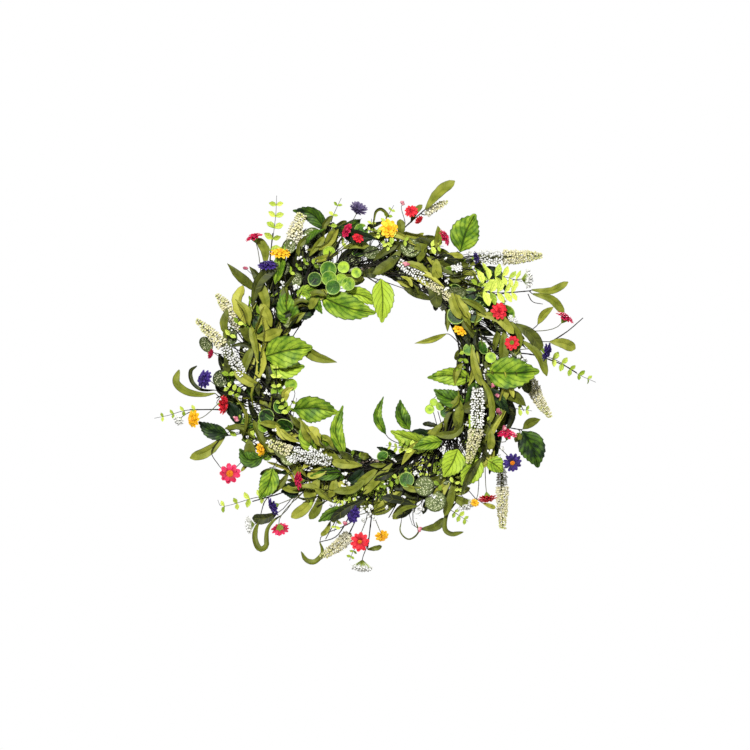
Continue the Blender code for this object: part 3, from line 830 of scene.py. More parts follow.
class Path:
    """A smooth line through some points, measured along its length."""

    def __init__(self, points: Sequence[np.ndarray], steps: int = 8) -> None:
        """Runs a smooth line through the points, with some steps from each to the next."""
        given = np.asarray(points, float)
        ends = np.vstack((given[0] * 2 - given[1], given, given[-1] * 2 - given[-2]))
        t = np.linspace(0, 1, steps, endpoint=False)[:, None]
        spans = []
        for a, b, c, d in zip(ends, ends[1:], ends[2:], ends[3:]):
            curve = b * 2 + (c - a) * t + (a * 2 - b * 5 + c * 4 - d) * t**2
            curve = curve + (b * 3 - a - c * 3 + d) * t**3
            spans.append(curve / 2)
        self.points = np.vstack((*spans, given[-1:]))
        lengths = np.linalg.norm(np.diff(self.points, axis=0), axis=1)
        self.length = float(lengths.sum())
        self.shares = np.concatenate(((0,), np.cumsum(lengths))) / self.length
        self.headings = np.gradient(self.points, self.shares, axis=0)

    @classmethod
    def arc(cls, start: np.ndarray, leaving: np.ndarray, end: np.ndarray, arriving: np.ndarray) -> "Path":
        """A bent line whose two ends have given directions, as long as they are strong."""
        t = np.linspace(0, 1, 9)[:, None]
        first = start * (2 * t**3 - 3 * t**2 + 1) + leaving * (t**3 - 2 * t**2 + t)
        second = end * (3 * t**2 - 2 * t**3) + arriving * (t**3 - t**2)
        return cls(first + second, 2)

    def read_off(self, rows: np.ndarray, share: float | np.ndarray) -> np.ndarray:
        """What the rows hold at a share of the length, or at several."""
        return np.stack([np.interp(share, self.shares, rows[:, axis]) for axis in range(3)], axis=-1)

    def at(self, share: float | np.ndarray) -> np.ndarray:
        """The point, or points, at a share of the length."""
        return self.read_off(self.points, share)

    def heading(self, share: float | np.ndarray) -> np.ndarray:
        """The direction, or directions, at a share of the length."""
        return units(self.read_off(self.headings, share))


@dataclass
class Piece:
    """One visible piece, gathered from placed copies of forms."""

    name: str
    body: str
    slot: str
    stands_for: tuple[str, ...] = ()
    copies: list = field(default_factory=list)

    @classmethod
    def in_place_of(cls, node: str, ending: str) -> "Piece":
        """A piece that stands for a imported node, on its body and in its slot."""
        return cls(node + ending, BODY_OF[node], SLOT_OF[node], (node,))

    def add(self, form: Form, points: np.ndarray, finish: Finish, tone: float | np.ndarray) -> None:
        """Adds a copy of a form whose points are already in their places."""
        self.copies.append((form, points, finish, np.full(len(points), 1.0) * tone))

    def lay(
        self,
        form: Form,
        path: Path,
        finish: Finish,
        width: float,
        tone: float | np.ndarray = 0.5,
        look: np.ndarray = FRONT,
        roll: float = 0.0,
        twist: float = 0.0,
        taper: float = 0.0,
    ) -> None:
        """Lays a form along a path.

        Args:
            form: What is laid. Its X runs along the path.
            path: Where it goes.
            finish: What it is made of.
            width: What 1 across the form becomes, in metres.
            tone: How light this copy is, 0 to 1, or one number for each point.
            look: Which way the form's Z looks, as near as can be.
            roll: A turn about the path, in radians.
            twist: A further turn that grows from 0 at the start to this at the end.
            taper: How much narrower the end is than the start.
        """
        share = np.clip(form.points[:, 0], 0, 1)
        heading = path.heading(share)
        normal = units(look - heading * (heading @ look)[:, None])
        side = np.cross(normal, heading)
        turn = (roll + twist * share)[:, None]
        across = side * np.cos(turn) + normal * np.sin(turn)
        raised = normal * np.cos(turn) - side * np.sin(turn)
        wide = width * (1 - taper * share)[:, None]
        past = (form.points[:, :1] - share[:, None]) * path.length
        placed = path.at(share) + heading * past + across * form.points[:, 1:2] * wide
        self.add(form, placed + raised * form.points[:, 2:3] * wide, finish, tone)

    def put(
        self,
        form: Form,
        place: np.ndarray,
        axes: np.ndarray,
        size: float | Place,
        finish: Finish,
        tone: float,
    ) -> None:
        """Puts a form at a place.

        Args:
            form: What is put there.
            place: The point that the form's own middle comes to.
            axes: The form's three axes, as columns.
            size: What 1 on the form becomes, in metres, or one such size for each axis.
            finish: What it is made of.
            tone: How light this copy is, 0 to 1.
        """
        self.add(form, place + (form.points * np.array(size)) @ axes.T, finish, tone)

    def mesh(self) -> bpy.types.Mesh:
        """All the copies as one mesh, with a material for each finish among them."""
        forms, points, finishes, tones = zip(*self.copies)
        kinds = list(dict.fromkeys(finishes))
        firsts = np.cumsum([0, *(len(form.points) for form in forms)])
        corners = np.concatenate([form.corners + first for form, first in zip(forms, firsts)])
        sides = np.concatenate([form.sides for form in forms])
        slots = np.repeat([kinds.index(finish) for finish in finishes], [len(form.sides) for form in forms])
        maps = np.vstack([form.map[form.corners] for form in forms])
        mesh = bpy.data.meshes.new(self.name)
        mesh.vertices.add(firsts[-1])
        mesh.vertices.foreach_set("co", np.vstack(points).astype(np.float32).ravel())
        mesh.loops.add(len(corners))
        mesh.loops.foreach_set("vertex_index", corners.astype(np.int32))
        mesh.polygons.add(len(sides))
        starts = np.concatenate(((0,), np.cumsum(sides)[:-1]))
        mesh.polygons.foreach_set("loop_start", starts.astype(np.int32))
        mesh.polygons.foreach_set("material_index", slots.astype(np.int32))
        mesh.uv_layers.new(name="UVMap").data.foreach_set("uv", maps.astype(np.float32).ravel())
        shades = mesh.attributes.new("tone", "FLOAT", "POINT")
        shades.data.foreach_set("value", np.concatenate(tones).astype(np.float32))
        for finish in kinds:
            mesh.materials.append(finish.material())
        mesh.update(calc_edges=True)
        mesh.validate()
        mesh.shade_smooth()
        mesh.set_sharp_from_angle(angle=math.radians(SHARP_FROM))
        return mesh

    def finish(self) -> None:
        """Makes the object and rides it on its body."""
        obj = bpy.data.objects.new(self.name, self.mesh())
        bpy.context.scene.collection.objects.link(obj)
        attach(obj, self.body)
        if self.stands_for:
            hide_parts(*self.stands_for)
        log.info("%s: %d faces on %s", self.name, len(obj.data.polygons), self.body)


# ---------------------------------------------------------------- sprigs


class Kind(Enum):
    """The kinds of leaf: the name of each one's form, and what it is made of."""

    MINT = ("mint", Finish.MINT)
    STRAP = ("strap", Finish.STRAP)
    POINT = ("point", Finish.STRAP)


class Seat(Enum):
    """How far round the bundle a foot sits, in degrees from its front towards the outside."""

    INSIDE = -70
    FRONT_INSIDE = -30
    FRONT = 10
    FRONT_OUTSIDE = 50
    OUTSIDE = 90
    BACK = 130


def stepped(forward: float, seed: float) -> float:
    """A little further forward by a repeatable amount, so that neighbours don't share a plane."""
    return forward + seed * 7.31 % 4.0


@dataclass
class Sprig:
    """One wired stem with what grows on it."""

    forms: Forms
    ring: Ring
    piece: Piece
    binding: int
    seat: Seat
    route: Sequence[Place]
    stem_width: float = 2.1 * MM
    twig_width: float = 1.3 * MM

    def __post_init__(self) -> None:
        """Lays the stem, straight through its binding and then along its route."""
        seed = sum(ord(letter) * (place + 3) for place, letter in enumerate(self.piece.name))
        self.chance = np.random.default_rng(seed)
        clock = self.ring.binding_clocks[self.binding]
        foot = self.ring.around(clock, math.radians(self.seat.value), self.ring.foot_offset)
        half = self.ring.along(clock) * self.ring.foot_length / 2
        self.stem = Path([foot - half, foot + half, *(self.ring.board(*place) for place in self.route)])
        self.piece.lay(self.forms.stem, self.stem, Finish.STEM, self.stem_width, 0.35, taper=0.35)

    def spot(self, place: Place) -> np.ndarray:
        """A board place as a point. One without a depth is as far forward as the stem is there."""
        if len(place) > 2:
            return self.ring.board(*place)
        flat = self.ring.board(*place)
        gaps = np.hypot(self.stem.points[:, 0] - flat[0], self.stem.points[:, 2] - flat[2])
        forward = (self.ring.centre[1] - self.stem.points[int(gaps.argmin()), 1]) / MM
        return self.ring.board(*place, forward)

    def line(self, places: Sequence[Place]) -> Path:
        """A smooth line along several board places."""
        return Path([self.spot(place) for place in places])

    def bowed(self, base: Place, tip: Place, bow: float, arch: float = 0.0) -> Path:
        """A line from one board place to another.

        Args:
            base: The place where it starts.
            tip: The place where it ends.
            bow: How far its middle stands off its chord on the board, as a share of its length.
            arch: How far its middle stands forward, in millimetres.

        Returns:
            The line.
        """
        start, end = self.spot(base), self.spot(tip)
        chord = end - start
        sideways = np.array((-chord[2], 0, chord[0])) * bow
        return Path([start, (start + end) / 2 + sideways + FRONT * arch * MM, end])

    def draw(self, low: float, high: float = 1.0) -> float:
        """A number by chance between two."""
        return self.chance.uniform(low, high)

    def near(self, tone: float, spread: float) -> float:
        """A tone by chance near another."""
        return float(np.clip(self.chance.normal(tone, spread), 0, 1))

    def shoot(self, end: np.ndarray, heading: np.ndarray, width: float = 0.0, tone: float = 0.35) -> None:
        """A side twig that leaves the stem smoothly, unless what it carries sits on the stem.

        Args:
            end: The point that it reaches.
            heading: The direction that it arrives in.
            width: Its width in metres, if it isn't a usual one.
            tone: How light it is, 0 to 1.
        """
        shares = np.linspace(0.12, 1, 40)
        gaps = np.linalg.norm(self.stem.at(shares) - end, axis=1)
        gap = float(gaps.min())
        share = max(shares[int(gaps.argmin())] - 0.8 * gap / self.stem.length, 0.1)
        start = self.stem.at(share)
        reach = float(np.linalg.norm(end - start))
        if reach < SHORTEST_TWIG:
            return
        line = Path.arc(start, self.stem.heading(share) * reach, end, unit(heading) * reach * 0.8)
        self.piece.lay(self.forms.twig, line, Finish.STEM, width or self.twig_width, tone, taper=0.25)

    def carry(self, line: Path, width: float = 0.0) -> None:
        """A side twig that goes over into a line."""
        self.shoot(line.at(0.0), line.heading(0.0), width)

    def leaf(
        self,
        kind: Kind,
        base: Place,
        tip: Place,
        width: float,
        tone: float = 0.5,
        bow: float = 0.0,
        arch: float = 3.0,
        roll: float = 0.0,
        twist: float = 0.0,
    ) -> None:
        """A leaf and the twig that carries it.

        Args:
            kind: Which leaf.
            base: The board place of its foot.
            tip: The board place of its point.
            width: Its full width in millimetres.
            tone: How light it is, 0 to 1.
            bow: How far its middle stands off its chord on the board, as a share of its length.
            arch: How far its middle stands forward, in millimetres.
            roll: Its turn about its own length, in degrees.
            twist: Its further turn from foot to tip, in degrees.
        """
        form, finish = kind.value
        line = self.bowed(base, tip, bow, arch)
        look = FRONT + self.chance.normal(0, 0.16, 3)
        turns = math.radians(roll), math.radians(twist)
        self.piece.lay(getattr(self.forms, form), line, finish, width * MM, tone, look, *turns)
        self.carry(line)

    def strap(self, base: Place, tip: Place, width: float, *pose: float) -> None:
        """A strap leaf, posed as `leaf` says."""
        self.leaf(Kind.STRAP, base, tip, width, *pose)

    def mint(self, base: Place, tip: Place, width: float, *pose: float) -> None:
        """A serrated mint leaf, posed as `leaf` says."""
        self.leaf(Kind.MINT, base, tip, width, *pose)

    def point(self, base: Place, tip: Place, width: float, *pose: float) -> None:
        """A small pointed leaf, posed as `leaf` says."""
        self.leaf(Kind.POINT, base, tip, width, *pose)

    def ribbon(
        self, places: Sequence[Place], width: float, tone: float, roll: float = 35.0, twist: float = 0.0
    ) -> None:
        """A long strap leaf that curls.

        Args:
            places: The board places that it goes along.
            width: Its full width in millimetres.
            tone: How light it is, 0 to 1.
            roll: Its turn about its own length, in degrees.
            twist: Its further turn from foot to tip, in degrees.
        """
        line = self.line(places)
        turn, more = math.radians(roll), math.radians(twist)
        self.piece.lay(self.forms.ribbon, line, Finish.STRAP, width * MM, tone, roll=turn, twist=more)
        self.carry(line)

    def twig(self, places: Sequence[Place], width: float, tone: float = 0.2) -> None:
        """A bare twig along board places, with its width in millimetres and its tone."""
        self.piece.lay(self.forms.twig, self.line(places), Finish.STEM, width * MM, tone, taper=0.3)

    def daisy(
        self,
        finish: Finish,
        place: Place,
        look: Place,
        width: float,
        petals: int = 11,
        eye: Finish | None = None,
        eye_share: float = 0.26,
        droop: float = 0.0,
    ) -> None:
        """A daisy head on its twig.

        Args:
            finish: The petals' finish.
            place: The board place of its middle.
            look: The way that it faces: (x, z, forward).
            width: Its full width in millimetres.
            petals: How many petals the outer row has.
            eye: The finish of its middle, if it isn't the petals' own. Such a head is flatter.
            eye_share: How wide the middle is, as a share of the head.
            droop: How far the petal tips fall back, as a share of the radius.
        """
        radius = width / 2 * MM
        ahead = facing(look)
        middle = self.spot(place)
        axes = turned_to(ahead, self.draw(0))
        rows = ((petals, 1.0, 0.0), (max(petals - 2, 6), 0.8, 0.14), (max(petals - 5, 5), 0.52, 0.26))
        for count, reach, lift in rows[:2] if eye else rows:
            for number in range(count):
                turn = math.tau * (number + lift * 3) / count + self.chance.normal(0, 0.05)
                outwards = spoke(axes, turn)
                far = radius * reach * self.draw(0.92)
                rise = lift + 0.06 + self.chance.normal(0, 0.04)
                steps = ((radius * 0.12, lift * 0.6), (far * 0.6, rise + 0.06), (far, rise - droop))
                line = Path([middle + outwards * out + ahead * radius * up for out, up in steps], 4)
                broad = math.tau * far * 0.8 / count * 0.94
                self.piece.lay(self.forms.petal, line, finish, broad, self.draw(0.15, 0.85), ahead)
        dome, cup = radius * eye_share, radius * 0.55
        self.piece.put(self.forms.eye, middle + ahead * radius * 0.16, axes, dome, eye or finish, 0.3)
        self.piece.put(self.forms.calyx, middle + ahead * radius * 0.04, axes, cup, Finish.CALYX, 0.5)
        self.shoot(middle - ahead * cup * 0.9, ahead, 1.2 * MM, 0.75)

    def spike(
        self,
        base: Place,
        tip: Place,
        width: float,
        opened: float = 0.0,
        bend: float = 0.04,
        end: float = 0.3,
    ) -> None:
        """A flower spike: open white beads along its foot, then close cream florets.

        Args:
            base: The board place where its florets begin.
            tip: The board place of its end.
            width: Its full width in millimetres.
            opened: The share of its length that is open beads.
            bend: How far its middle stands off its chord, as a share of its length.
            end: How wide its end is, as a share of its width.
        """
        line = self.bowed(base, tip, bend)
        radius = width / 2 * MM
        # Painted shade: an opened spike's core is dark, standing for the shade in the gaps between its
        # beads; a closed spike's core is light.
        core = 0.15 if opened else 0.85
        self.piece.lay(self.forms.twig, line, Finish.CORE, radius * 0.62, core, taper=0.7)
        self.carry(line, 1.6 * MM)
        rings = int(line.length / FLORET_PITCH)
        for ring in range(rings):
            share = (ring + 0.5) / rings
            is_open = share < opened
            around = radius * float(np.interp(share, (0, 0.12, 0.35, 0.8, 1), (0.72, 0.95, 1, 0.72, end)))
            count = max(int(math.tau * around / (BEAD_PITCH if is_open else FLORET_PITCH)), 4)
            heading = line.heading(share)
            axes = turned_to(heading)
            for number in range(count):
                turn = math.tau * (number + 0.618 * ring) / count + self.chance.normal(0, 0.12)
                outwards = spoke(axes, turn)
                far = around * self.draw(0.78, 1.08) - 1.4 * MM
                place = line.at(share) + outwards * far + heading * self.chance.normal(0, 0.5) * MM
                pose = turned_to(unit(outwards + heading * (0.5 if is_open else 0.7)), turn)
                if is_open:
                    size = self.draw(2.2, 3.3) * MM
                    self.piece.put(self.forms.bead, place, pose, size, Finish.WHITE, self.draw(0.2))
                else:
                    size = self.draw(2.9, 4.0) * MM * (1.15 - 0.35 * share)
                    tone = self.near(share * 0.75, 0.18)
                    self.piece.put(self.forms.floret, place, pose, size, Finish.CREAM, tone)

    def umbel(self, place: Place, look: Place, width: float, depth: float, rays: int) -> None:
        """A white umbel: rays that spread from one point, each with a star at its end.

        Args:
            place: The board place of its middle.
            look: The way that it faces: (x, z, forward).
            width: Its full width in millimetres.
            depth: How far behind its middle the rays start, in millimetres.
            rays: How many rays it has.
        """
        ahead = facing(look)
        axes = turned_to(ahead)
        crown = self.spot(place)
        root = crown - ahead * depth * MM
        for number in range(rays):
            out = math.sqrt((number + 0.5) / rays)
            turn = number * GOLDEN_TURN
            flat = spoke(axes, turn) * out * width / 2 * MM
            end = crown + flat - ahead * out * out * depth * 0.3 * MM
            end = end + self.chance.normal(0, 0.4, 3) * MM
            self.piece.lay(self.forms.ray, Path([root, end], 1), Finish.CALYX, 0.7 * MM, 0.8)
            pose = turned_to(unit(end - root), turn)
            size = self.draw(4.8, 6.6) * MM
            tone = self.draw(0.3)
            self.piece.put(self.forms.star, end, pose, size, Finish.WHITE, tone)
            self.piece.put(self.forms.bead, end + ahead * 0.8 * MM, pose, size * 0.5, Finish.WHITE, tone)
        self.shoot(root, ahead)

    def cluster(
        self, places: Sequence[Place], size: float = 3.6, spread: float = 4.0, finish: Finish = Finish.WHITE
    ) -> None:
        """Loose small buds, five round each place, on short twigs.

        Args:
            places: The board places.
            size: A bud's width in millimetres.
            spread: How far they lie about, in millimetres.
            finish: What they are made of.
        """
        for place in places:
            middle = self.spot(place)
            self.shoot(middle, np.array((self.chance.normal(), -0.4, self.chance.normal())), 0.9 * MM)
            for _ in range(5):
                off = self.chance.normal(0, spread * 0.45, 3) * MM
                pose = turned_to(unit(self.chance.normal(0, 1, 3)))
                wide = size * self.draw(0.75, 1.2) * MM
                self.piece.put(self.forms.bead, middle + off, pose, wide, finish, self.draw(0.2))

    def buds(self, places: Sequence[Place], size: float, spread: float) -> None:
        """Pink buds, as `cluster` says."""
        self.cluster(places, size, spread, Finish.BUD)

    def disc(
        self, finish: Finish, place: Place, width: float, tone: float, squash: float = 1.0, turn: float = 0.0
    ) -> None:
        """A round leaf on a short twig.

        Args:
            finish: What it is made of.
            place: The board place of its middle.
            width: Its width in millimetres.
            tone: How light it is, 0 to 1.
            squash: Its second width as a share of the first, where it is seen tilted.
            turn: Which way its foot points, in degrees from the way that the sprig grows.
        """
        middle = self.spot(place)
        clock = math.atan2(place[0], place[1]) + math.radians(turn) + self.chance.normal(0, 0.25)
        heading = unit(self.ring.along(clock) + self.ring.outward(clock) * 0.5 + FRONT * 0.2)
        half = heading * width / 2 * MM
        line = Path([middle - half, middle + FRONT * 0.6 * MM, middle + half], 3)
        tilt = math.acos(min(max(squash, 0.2), 1.0)) * (1 if self.draw(0) > 0.5 else -1)
        self.piece.lay(self.forms.disc, line, finish, width * MM, tone, roll=tilt)
        self.shoot(middle - half, heading, 1.0 * MM)

    def coin(self, place: Place, width: float, tone: float, *pose: float) -> None:
        """A green coin leaf, posed as `disc` says."""
        self.disc(Finish.COIN, place, width, tone, *pose)

    def silver(self, place: Place, width: float, tone: float, *pose: float) -> None:
        """A stippled eucalyptus leaf, posed as `disc` says."""
        self.disc(Finish.EUCALYPTUS, place, width, tone, *pose)

    def coins(self, forward: float, *rows: Place) -> None:
        """Coin leaves that overlap.

        Args:
            forward: How far forward they stand at least, in millimetres.
            rows: The x, z, width and tone of each.
        """
        for x, z, width, tone in rows:
            self.coin((x, z, stepped(forward, x)), width, tone)

    def frond(
        self,
        places: Sequence[Place],
        pairs: int,
        size: float,
        start: float = 0.25,
        tone: float = 0.6,
        narrow: float = 0.62,
    ) -> None:
        """A thin wire with paired leaflets.

        Args:
            places: The board places that the wire goes along.
            pairs: How many pairs of leaflets it has.
            size: A leaflet's length in millimetres.
            start: The share of the wire where the leaflets begin.
            tone: How light they are, 0 to 1.
            narrow: A leaflet's width as a share of its length.
        """
        line = self.line(places)
        self.piece.lay(self.forms.twig, line, Finish.STEM, 0.9 * MM, 0.3, taper=0.4)
        self.carry(line, 1.0 * MM)
        for pair in range(pairs):
            share = start + (0.97 - start) * (pair + 0.3) / pairs
            foot = line.at(share)
            heading = line.heading(share)
            across = unit(np.cross(heading, FRONT))
            for side in (-1, 1):
                long = size * (1.1 - 0.4 * share) * self.draw(0.8, 1.1) * MM
                lean = heading * self.draw(0.2, 0.7)
                out = unit(across * side + lean + (0, self.chance.normal(-0.15, 0.25), 0))
                leaflet = Path([foot, foot + out * long / 2 + heading * long * 0.08, foot + out * long], 2)
                look = FRONT + self.chance.normal(0, 0.3, 3)
                shade = self.near(tone, 0.15)
                self.piece.lay(self.forms.fern, leaflet, Finish.FERN, long * narrow, shade, look)


@dataclass
class Wreath:
    """All the sprigs and sprays, bunch by bunch."""

    forms: Forms
    ring: Ring
    sprigs: list[Sprig] = field(default_factory=list)
    sprays: list[Sprig] = field(default_factory=list)

    def grow(self) -> None:
        """Grows the bunches clockwise from the top, and then what fills the sprays."""
        self.top()
        self.upper_right()
        self.lower_right()
        self.bottom()
        self.left()
        self.upper_left()
        for spray, mix in zip(self.sprays, MIXES):
            Filling(spray, mix).grow()

    def finish(self) -> None:
        """Makes every piece."""
        for sprig in self.sprigs + self.sprays:
            sprig.piece.finish()

    def sprig(self, node: str, binding: int, seat: Seat, *route: Place) -> Sprig:
        """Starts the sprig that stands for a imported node.

        Args:
            node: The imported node's name.
            binding: The binding that holds its foot.
            seat: How far round the bundle its foot sits.
            route: The board places that its stem goes along.

        Returns:
            The sprig, with its stem laid.
        """
        made = Sprig(self.forms, self.ring, Piece.in_place_of(node, "_made"), binding, seat, route)
        self.sprigs.append(made)
        return made

    def spray(self, binding: int) -> Sprig:
        """Starts a fixed spray that goes from one binding to the next, for odd pieces and filling."""
        piece = Piece(f"spray_{binding + 1}", BODY_OF["wire_hoop"], "strap_leaf")
        route = [self.ring.past(binding, *step) for step in SPRAY_STEPS]
        made = Sprig(self.forms, self.ring, piece, binding, Seat.FRONT, route)
        self.sprays.append(made)
        return made

    def top(self) -> None:
        """The bunches at the top, bindings 1 and 2."""
        s = self.sprig("strap_leaf_sprig_1", 0, Seat.OUTSIDE, (10, 140, 4), (40, 172, 10), (74, 202, 14))
        s.strap((70, 198), (107, 234), 14, 0.55, 0.06)
        s.strap((40, 164), (38, 186), 11, 0.4)
        s.strap((52, 182), (66, 204), 8, 0.45, 0.1)
        s.daisy(Finish.RED, (52, 194, 30), (-0.2, 0.35, 0.9), 18, 12)
        s.daisy(Finish.RED, (61, 184, 30), (0.6, -0.6, 0.5), 13, 10)
        s.buds([(41, 204, 26)], 4, 2.4)
        s.spike((70, 192, 8), (98, 209, 4), 8)
        s = self.sprig("daisy_sprig_1", 0, Seat.FRONT_OUTSIDE, (8, 138, 18), (24, 158, 26))
        s.daisy(Finish.YELLOW, (23, 172, 36), (0.35, 0.1, 0.95), 25, 9)
        s.frond([(12, 160, 20), (20, 184, 20), (30, 203, 18)], 3, 8, 0.4)
        s.ribbon([(4, 176, 24), (6, 194, 22), (14, 199, 22), (22, 192, 24), (20, 184, 25)], 7, 0.4, 60)
        s.silver((51, 149, 26), 26, 0.5, 0.95, 20)
        s.strap((62, 132, 24), (66, 156, 22), 18, 0.42)
        s.frond([(20, 160, 24), (22, 152, 28), (26, 148, 30)], 2, 9, 0.3, 0.8)
        s = self.sprig("mint_leaf_sprig_1", 0, Seat.INSIDE, (-2, 112, 12), (10, 104, 18))
        s.mint((14, 110, 18), (15, 55, 22), 28, 1.0, 0.03, 5, 0)
        s.point((43, 98, 16), (80, 83, 20), 11, 0.2)
        s.strap((40, 148, 24), (4, 116, 26), 14, 0.3, 0.1)
        s = self.spray(0)
        s.silver((2, 143, 24), 20, 0.4, 0.8)
        s.coin((-11, 171, 20), 18, 0.5)
        s.strap((-10, 164, 18), (20, 172, 20), 10, 0.5, -0.1)
        s.frond([(-6, 152, 22), (0, 166, 22), (2, 186, 20)], 3, 8, 0.3, 0.85)

        s = self.sprig(
            "flower_spike_1", 1, Seat.FRONT_OUTSIDE, (75, 126, 16), (120, 138, 18), (130, 139, 18)
        )
        s.spike((131, 139), (217, 140, 14), 19, 0.42, -0.02)
        s = self.sprig("mint_leaf_sprig_2", 1, Seat.OUTSIDE, (70, 128, -2), (112, 146, -3))
        s.mint((115, 146), (134, 194), 37, 0.55, 0.05, 2)
        s.strap((68, 144, 14), (104, 136, 16), 9, 0.4, 0.15)
        s.strap((126, 128, 6), (168, 135, 8), 10, 0.55, 0.12)
        s = self.sprig("flower_spike_2", 1, Seat.FRONT_INSIDE, (58, 116, 17), (68, 110, 22))
        s.spike((36, 131, 28), (110, 78, 30), 15, 0.5, 0.02)
        s.buds([(46, 128, 34)], 5, 2.5)
        s = self.sprig("daisy_sprig_2", 1, Seat.FRONT, (66, 126, 22), (92, 142, 38))
        s.daisy(Finish.CRIMSON, (92, 160, 42), (0.9, 0.4, 0.4), 23, 12)
        s.point((82, 148, 36), (85, 176, 34), 11, 0.5, -0.1)
        s.frond([(70, 148, 34), (80, 150, 36), (92, 150, 38)], 2, 11, 0.2, 0.85)
        s.daisy(Finish.PURPLE, (131, 135, 42), (1, 0.1, 0.35), 18, 11)
        s.strap((83, 134, 34), (84, 110, 32), 14, 0.6)
        s.umbel((109, 126, 34), (0.1, 0.6, 0.7), 13, 9, 20)
        s.silver((109, 92, 34), 24, 0.6, 0.55, -20)
        s = self.spray(1)

    def upper_right(self) -> None:
        """The bunches at the right, above the middle, bindings 3 and 4."""
        s = self.sprig("strap_leaf_sprig_2", 2, Seat.OUTSIDE, (125, 84, 0), (165, 92, 3), (204, 96, 6))
        s.strap((205, 97), (251, 107), 10, 0.55, -0.14)
        s.strap((206, 92), (246, 67), 11, 0.5, 0.14)
        s.twig([(200, 92), (206, 82), (219, 79)], 1.2)
        s = self.sprig("daisy_sprig_3", 2, Seat.FRONT_OUTSIDE, (125, 66, 18), (165, 50, 22), (205, 44, 24))
        s.daisy(Finish.CRIMSON, (244, 60, 30), (0.5, 0.8, 0.3), 26, 13)
        s.daisy(Finish.RED, (161, 69, 41), (0.25, 0.15, 1), 23, 10)
        s.coin((170, 66, 27), 24, 0.6, 0.9)
        s.point((211, 53), (231, 75), 10, 0.6, 0.1)
        s.twig([(226, 30, 24), (248, 44, 24), (268, 61, 22)], 1.6, 0.3)
        s = self.sprig("fern_sprig_1", 2, Seat.FRONT, (120, 88, 26), (150, 100, 36))
        s.frond([(134, 98, 36), (158, 112, 40), (190, 106, 38)], 6, 17, 0.1, 0.85, 0.5)
        s.frond([(134, 94, 40), (152, 92, 44), (184, 92, 44)], 5, 19, 0.1, 1.0, 0.5)
        s.frond([(132, 90, 38), (136, 108, 36), (150, 126, 34)], 3, 14, 0.2, 0.6, 0.5)
        s.umbel((203, 111, 14), (1, 0.05, 0.25), 23, 12, 30)
        s = self.spray(2)
        s.coins(28, (108, 64, 23, 0.1), (131, 66, 23, 0.1), (127, 84, 26, 0.12), (118, 76, 20, 0.2))
        s.daisy(Finish.YELLOW, (112, 44, 34), (0.3, 0.7, 0.6), 19, 9)
        s.umbel((178, 63, 26), (0.1, 0.9, 0.4), 13, 22, 20)
        s.coin((124, 21, 32), 15, 0.6)

        s = self.sprig(
            "fern_sprig_2", 3, Seat.OUTSIDE, (150, 16, 0), (200, 16, 4), (240, 4, 5), (262, -8, 6)
        )
        s.frond([(212, 17), (240, 6), (262, -9), (286, -20)], 6, 11, 0.05, 0.6)
        s = self.sprig("daisy_sprig_4", 3, Seat.FRONT_OUTSIDE, (140, 16, 16), (178, 16, 24))
        s.daisy(Finish.PURPLE, (220, 19, 32), (0.9, -0.3, 0.45), 25, 13)
        s.daisy(Finish.RED, (178, 29, 34), (-0.3, 0.3, 0.9), 20, 9, Finish.GREEN_EYE, 0.3)
        s.strap((226, 31, 26), (258, 22, 24), 14, 0.6, 0.08)
        s.strap((180, 54, 26), (216, 20, 26), 15, 0.25, 0.1)
        s.strap((188, 34, 28), (222, -12, 26), 11, 0.45, 0.12)
        s = self.sprig("flower_spike_3", 3, Seat.BACK, (145, 0, -8), (180, -2, -10), (200, -12, -10))
        s.spike((203, -14), (230, -64), 15, 0.0, -0.05)
        s = self.sprig("mint_leaf_sprig_3", 3, Seat.FRONT_INSIDE, (118, -2, 20), (126, -12, 23))
        s.mint((145, -8, 28), (212, -6, 32), 40, 0.6, -0.03, 6)
        s.mint((128, -16, 24), (72, -14, 28), 23, 0.7, -0.06, 5)
        s.point((96, 41, 20), (56, 29, 24), 8, 0.6, 0.05)
        s.mint((118, -44, 28), (80, -29, 30), 23, 0.35, 0.1)
        s = self.sprig("flower_spike_4", 3, Seat.FRONT, (134, -4, 30), (138, -30, 36))
        s.spike((134, -27, 40), (123, -120, 40), 19, 0.52, 0.05)
        s = self.spray(3)
        s.strap((127, 26, 38), (139, -24, 40), 11, 0.6, -0.05)
        s.ribbon([(134, -10, 42), (148, -30, 42), (153, -52, 40), (151, -70, 38)], 9, 0.5, 20)
        s.buds([(160, -37, 36), (154, -23, 36), (161, -56, 36)], 4.4, 2.2)
        s.cluster([(194, 8, 30), (186, 12, 30), (144, -4, 34), (136, 2, 34)])
        s.point((165, -34, 24), (196, -50, 26), 15, 0.3, 0.1)
        s.frond([(176, -52, 20), (190, -54, 20), (204, -56, 20)], 2, 9, 0.3)
        s.twig([(180, -30, 14), (188, -44, 14), (194, -56, 14)], 1.4)
        s.coin((151, 11, 34), 14, 0.9)
        for step in range(6):
            x = 116 + 4.6 * step
            s.twig([(x, 44, 24), (x + 3, 10, 28), (x - 1, -28, 28), (x - 3, -62, 26)], 1.7, 0.15 * step)

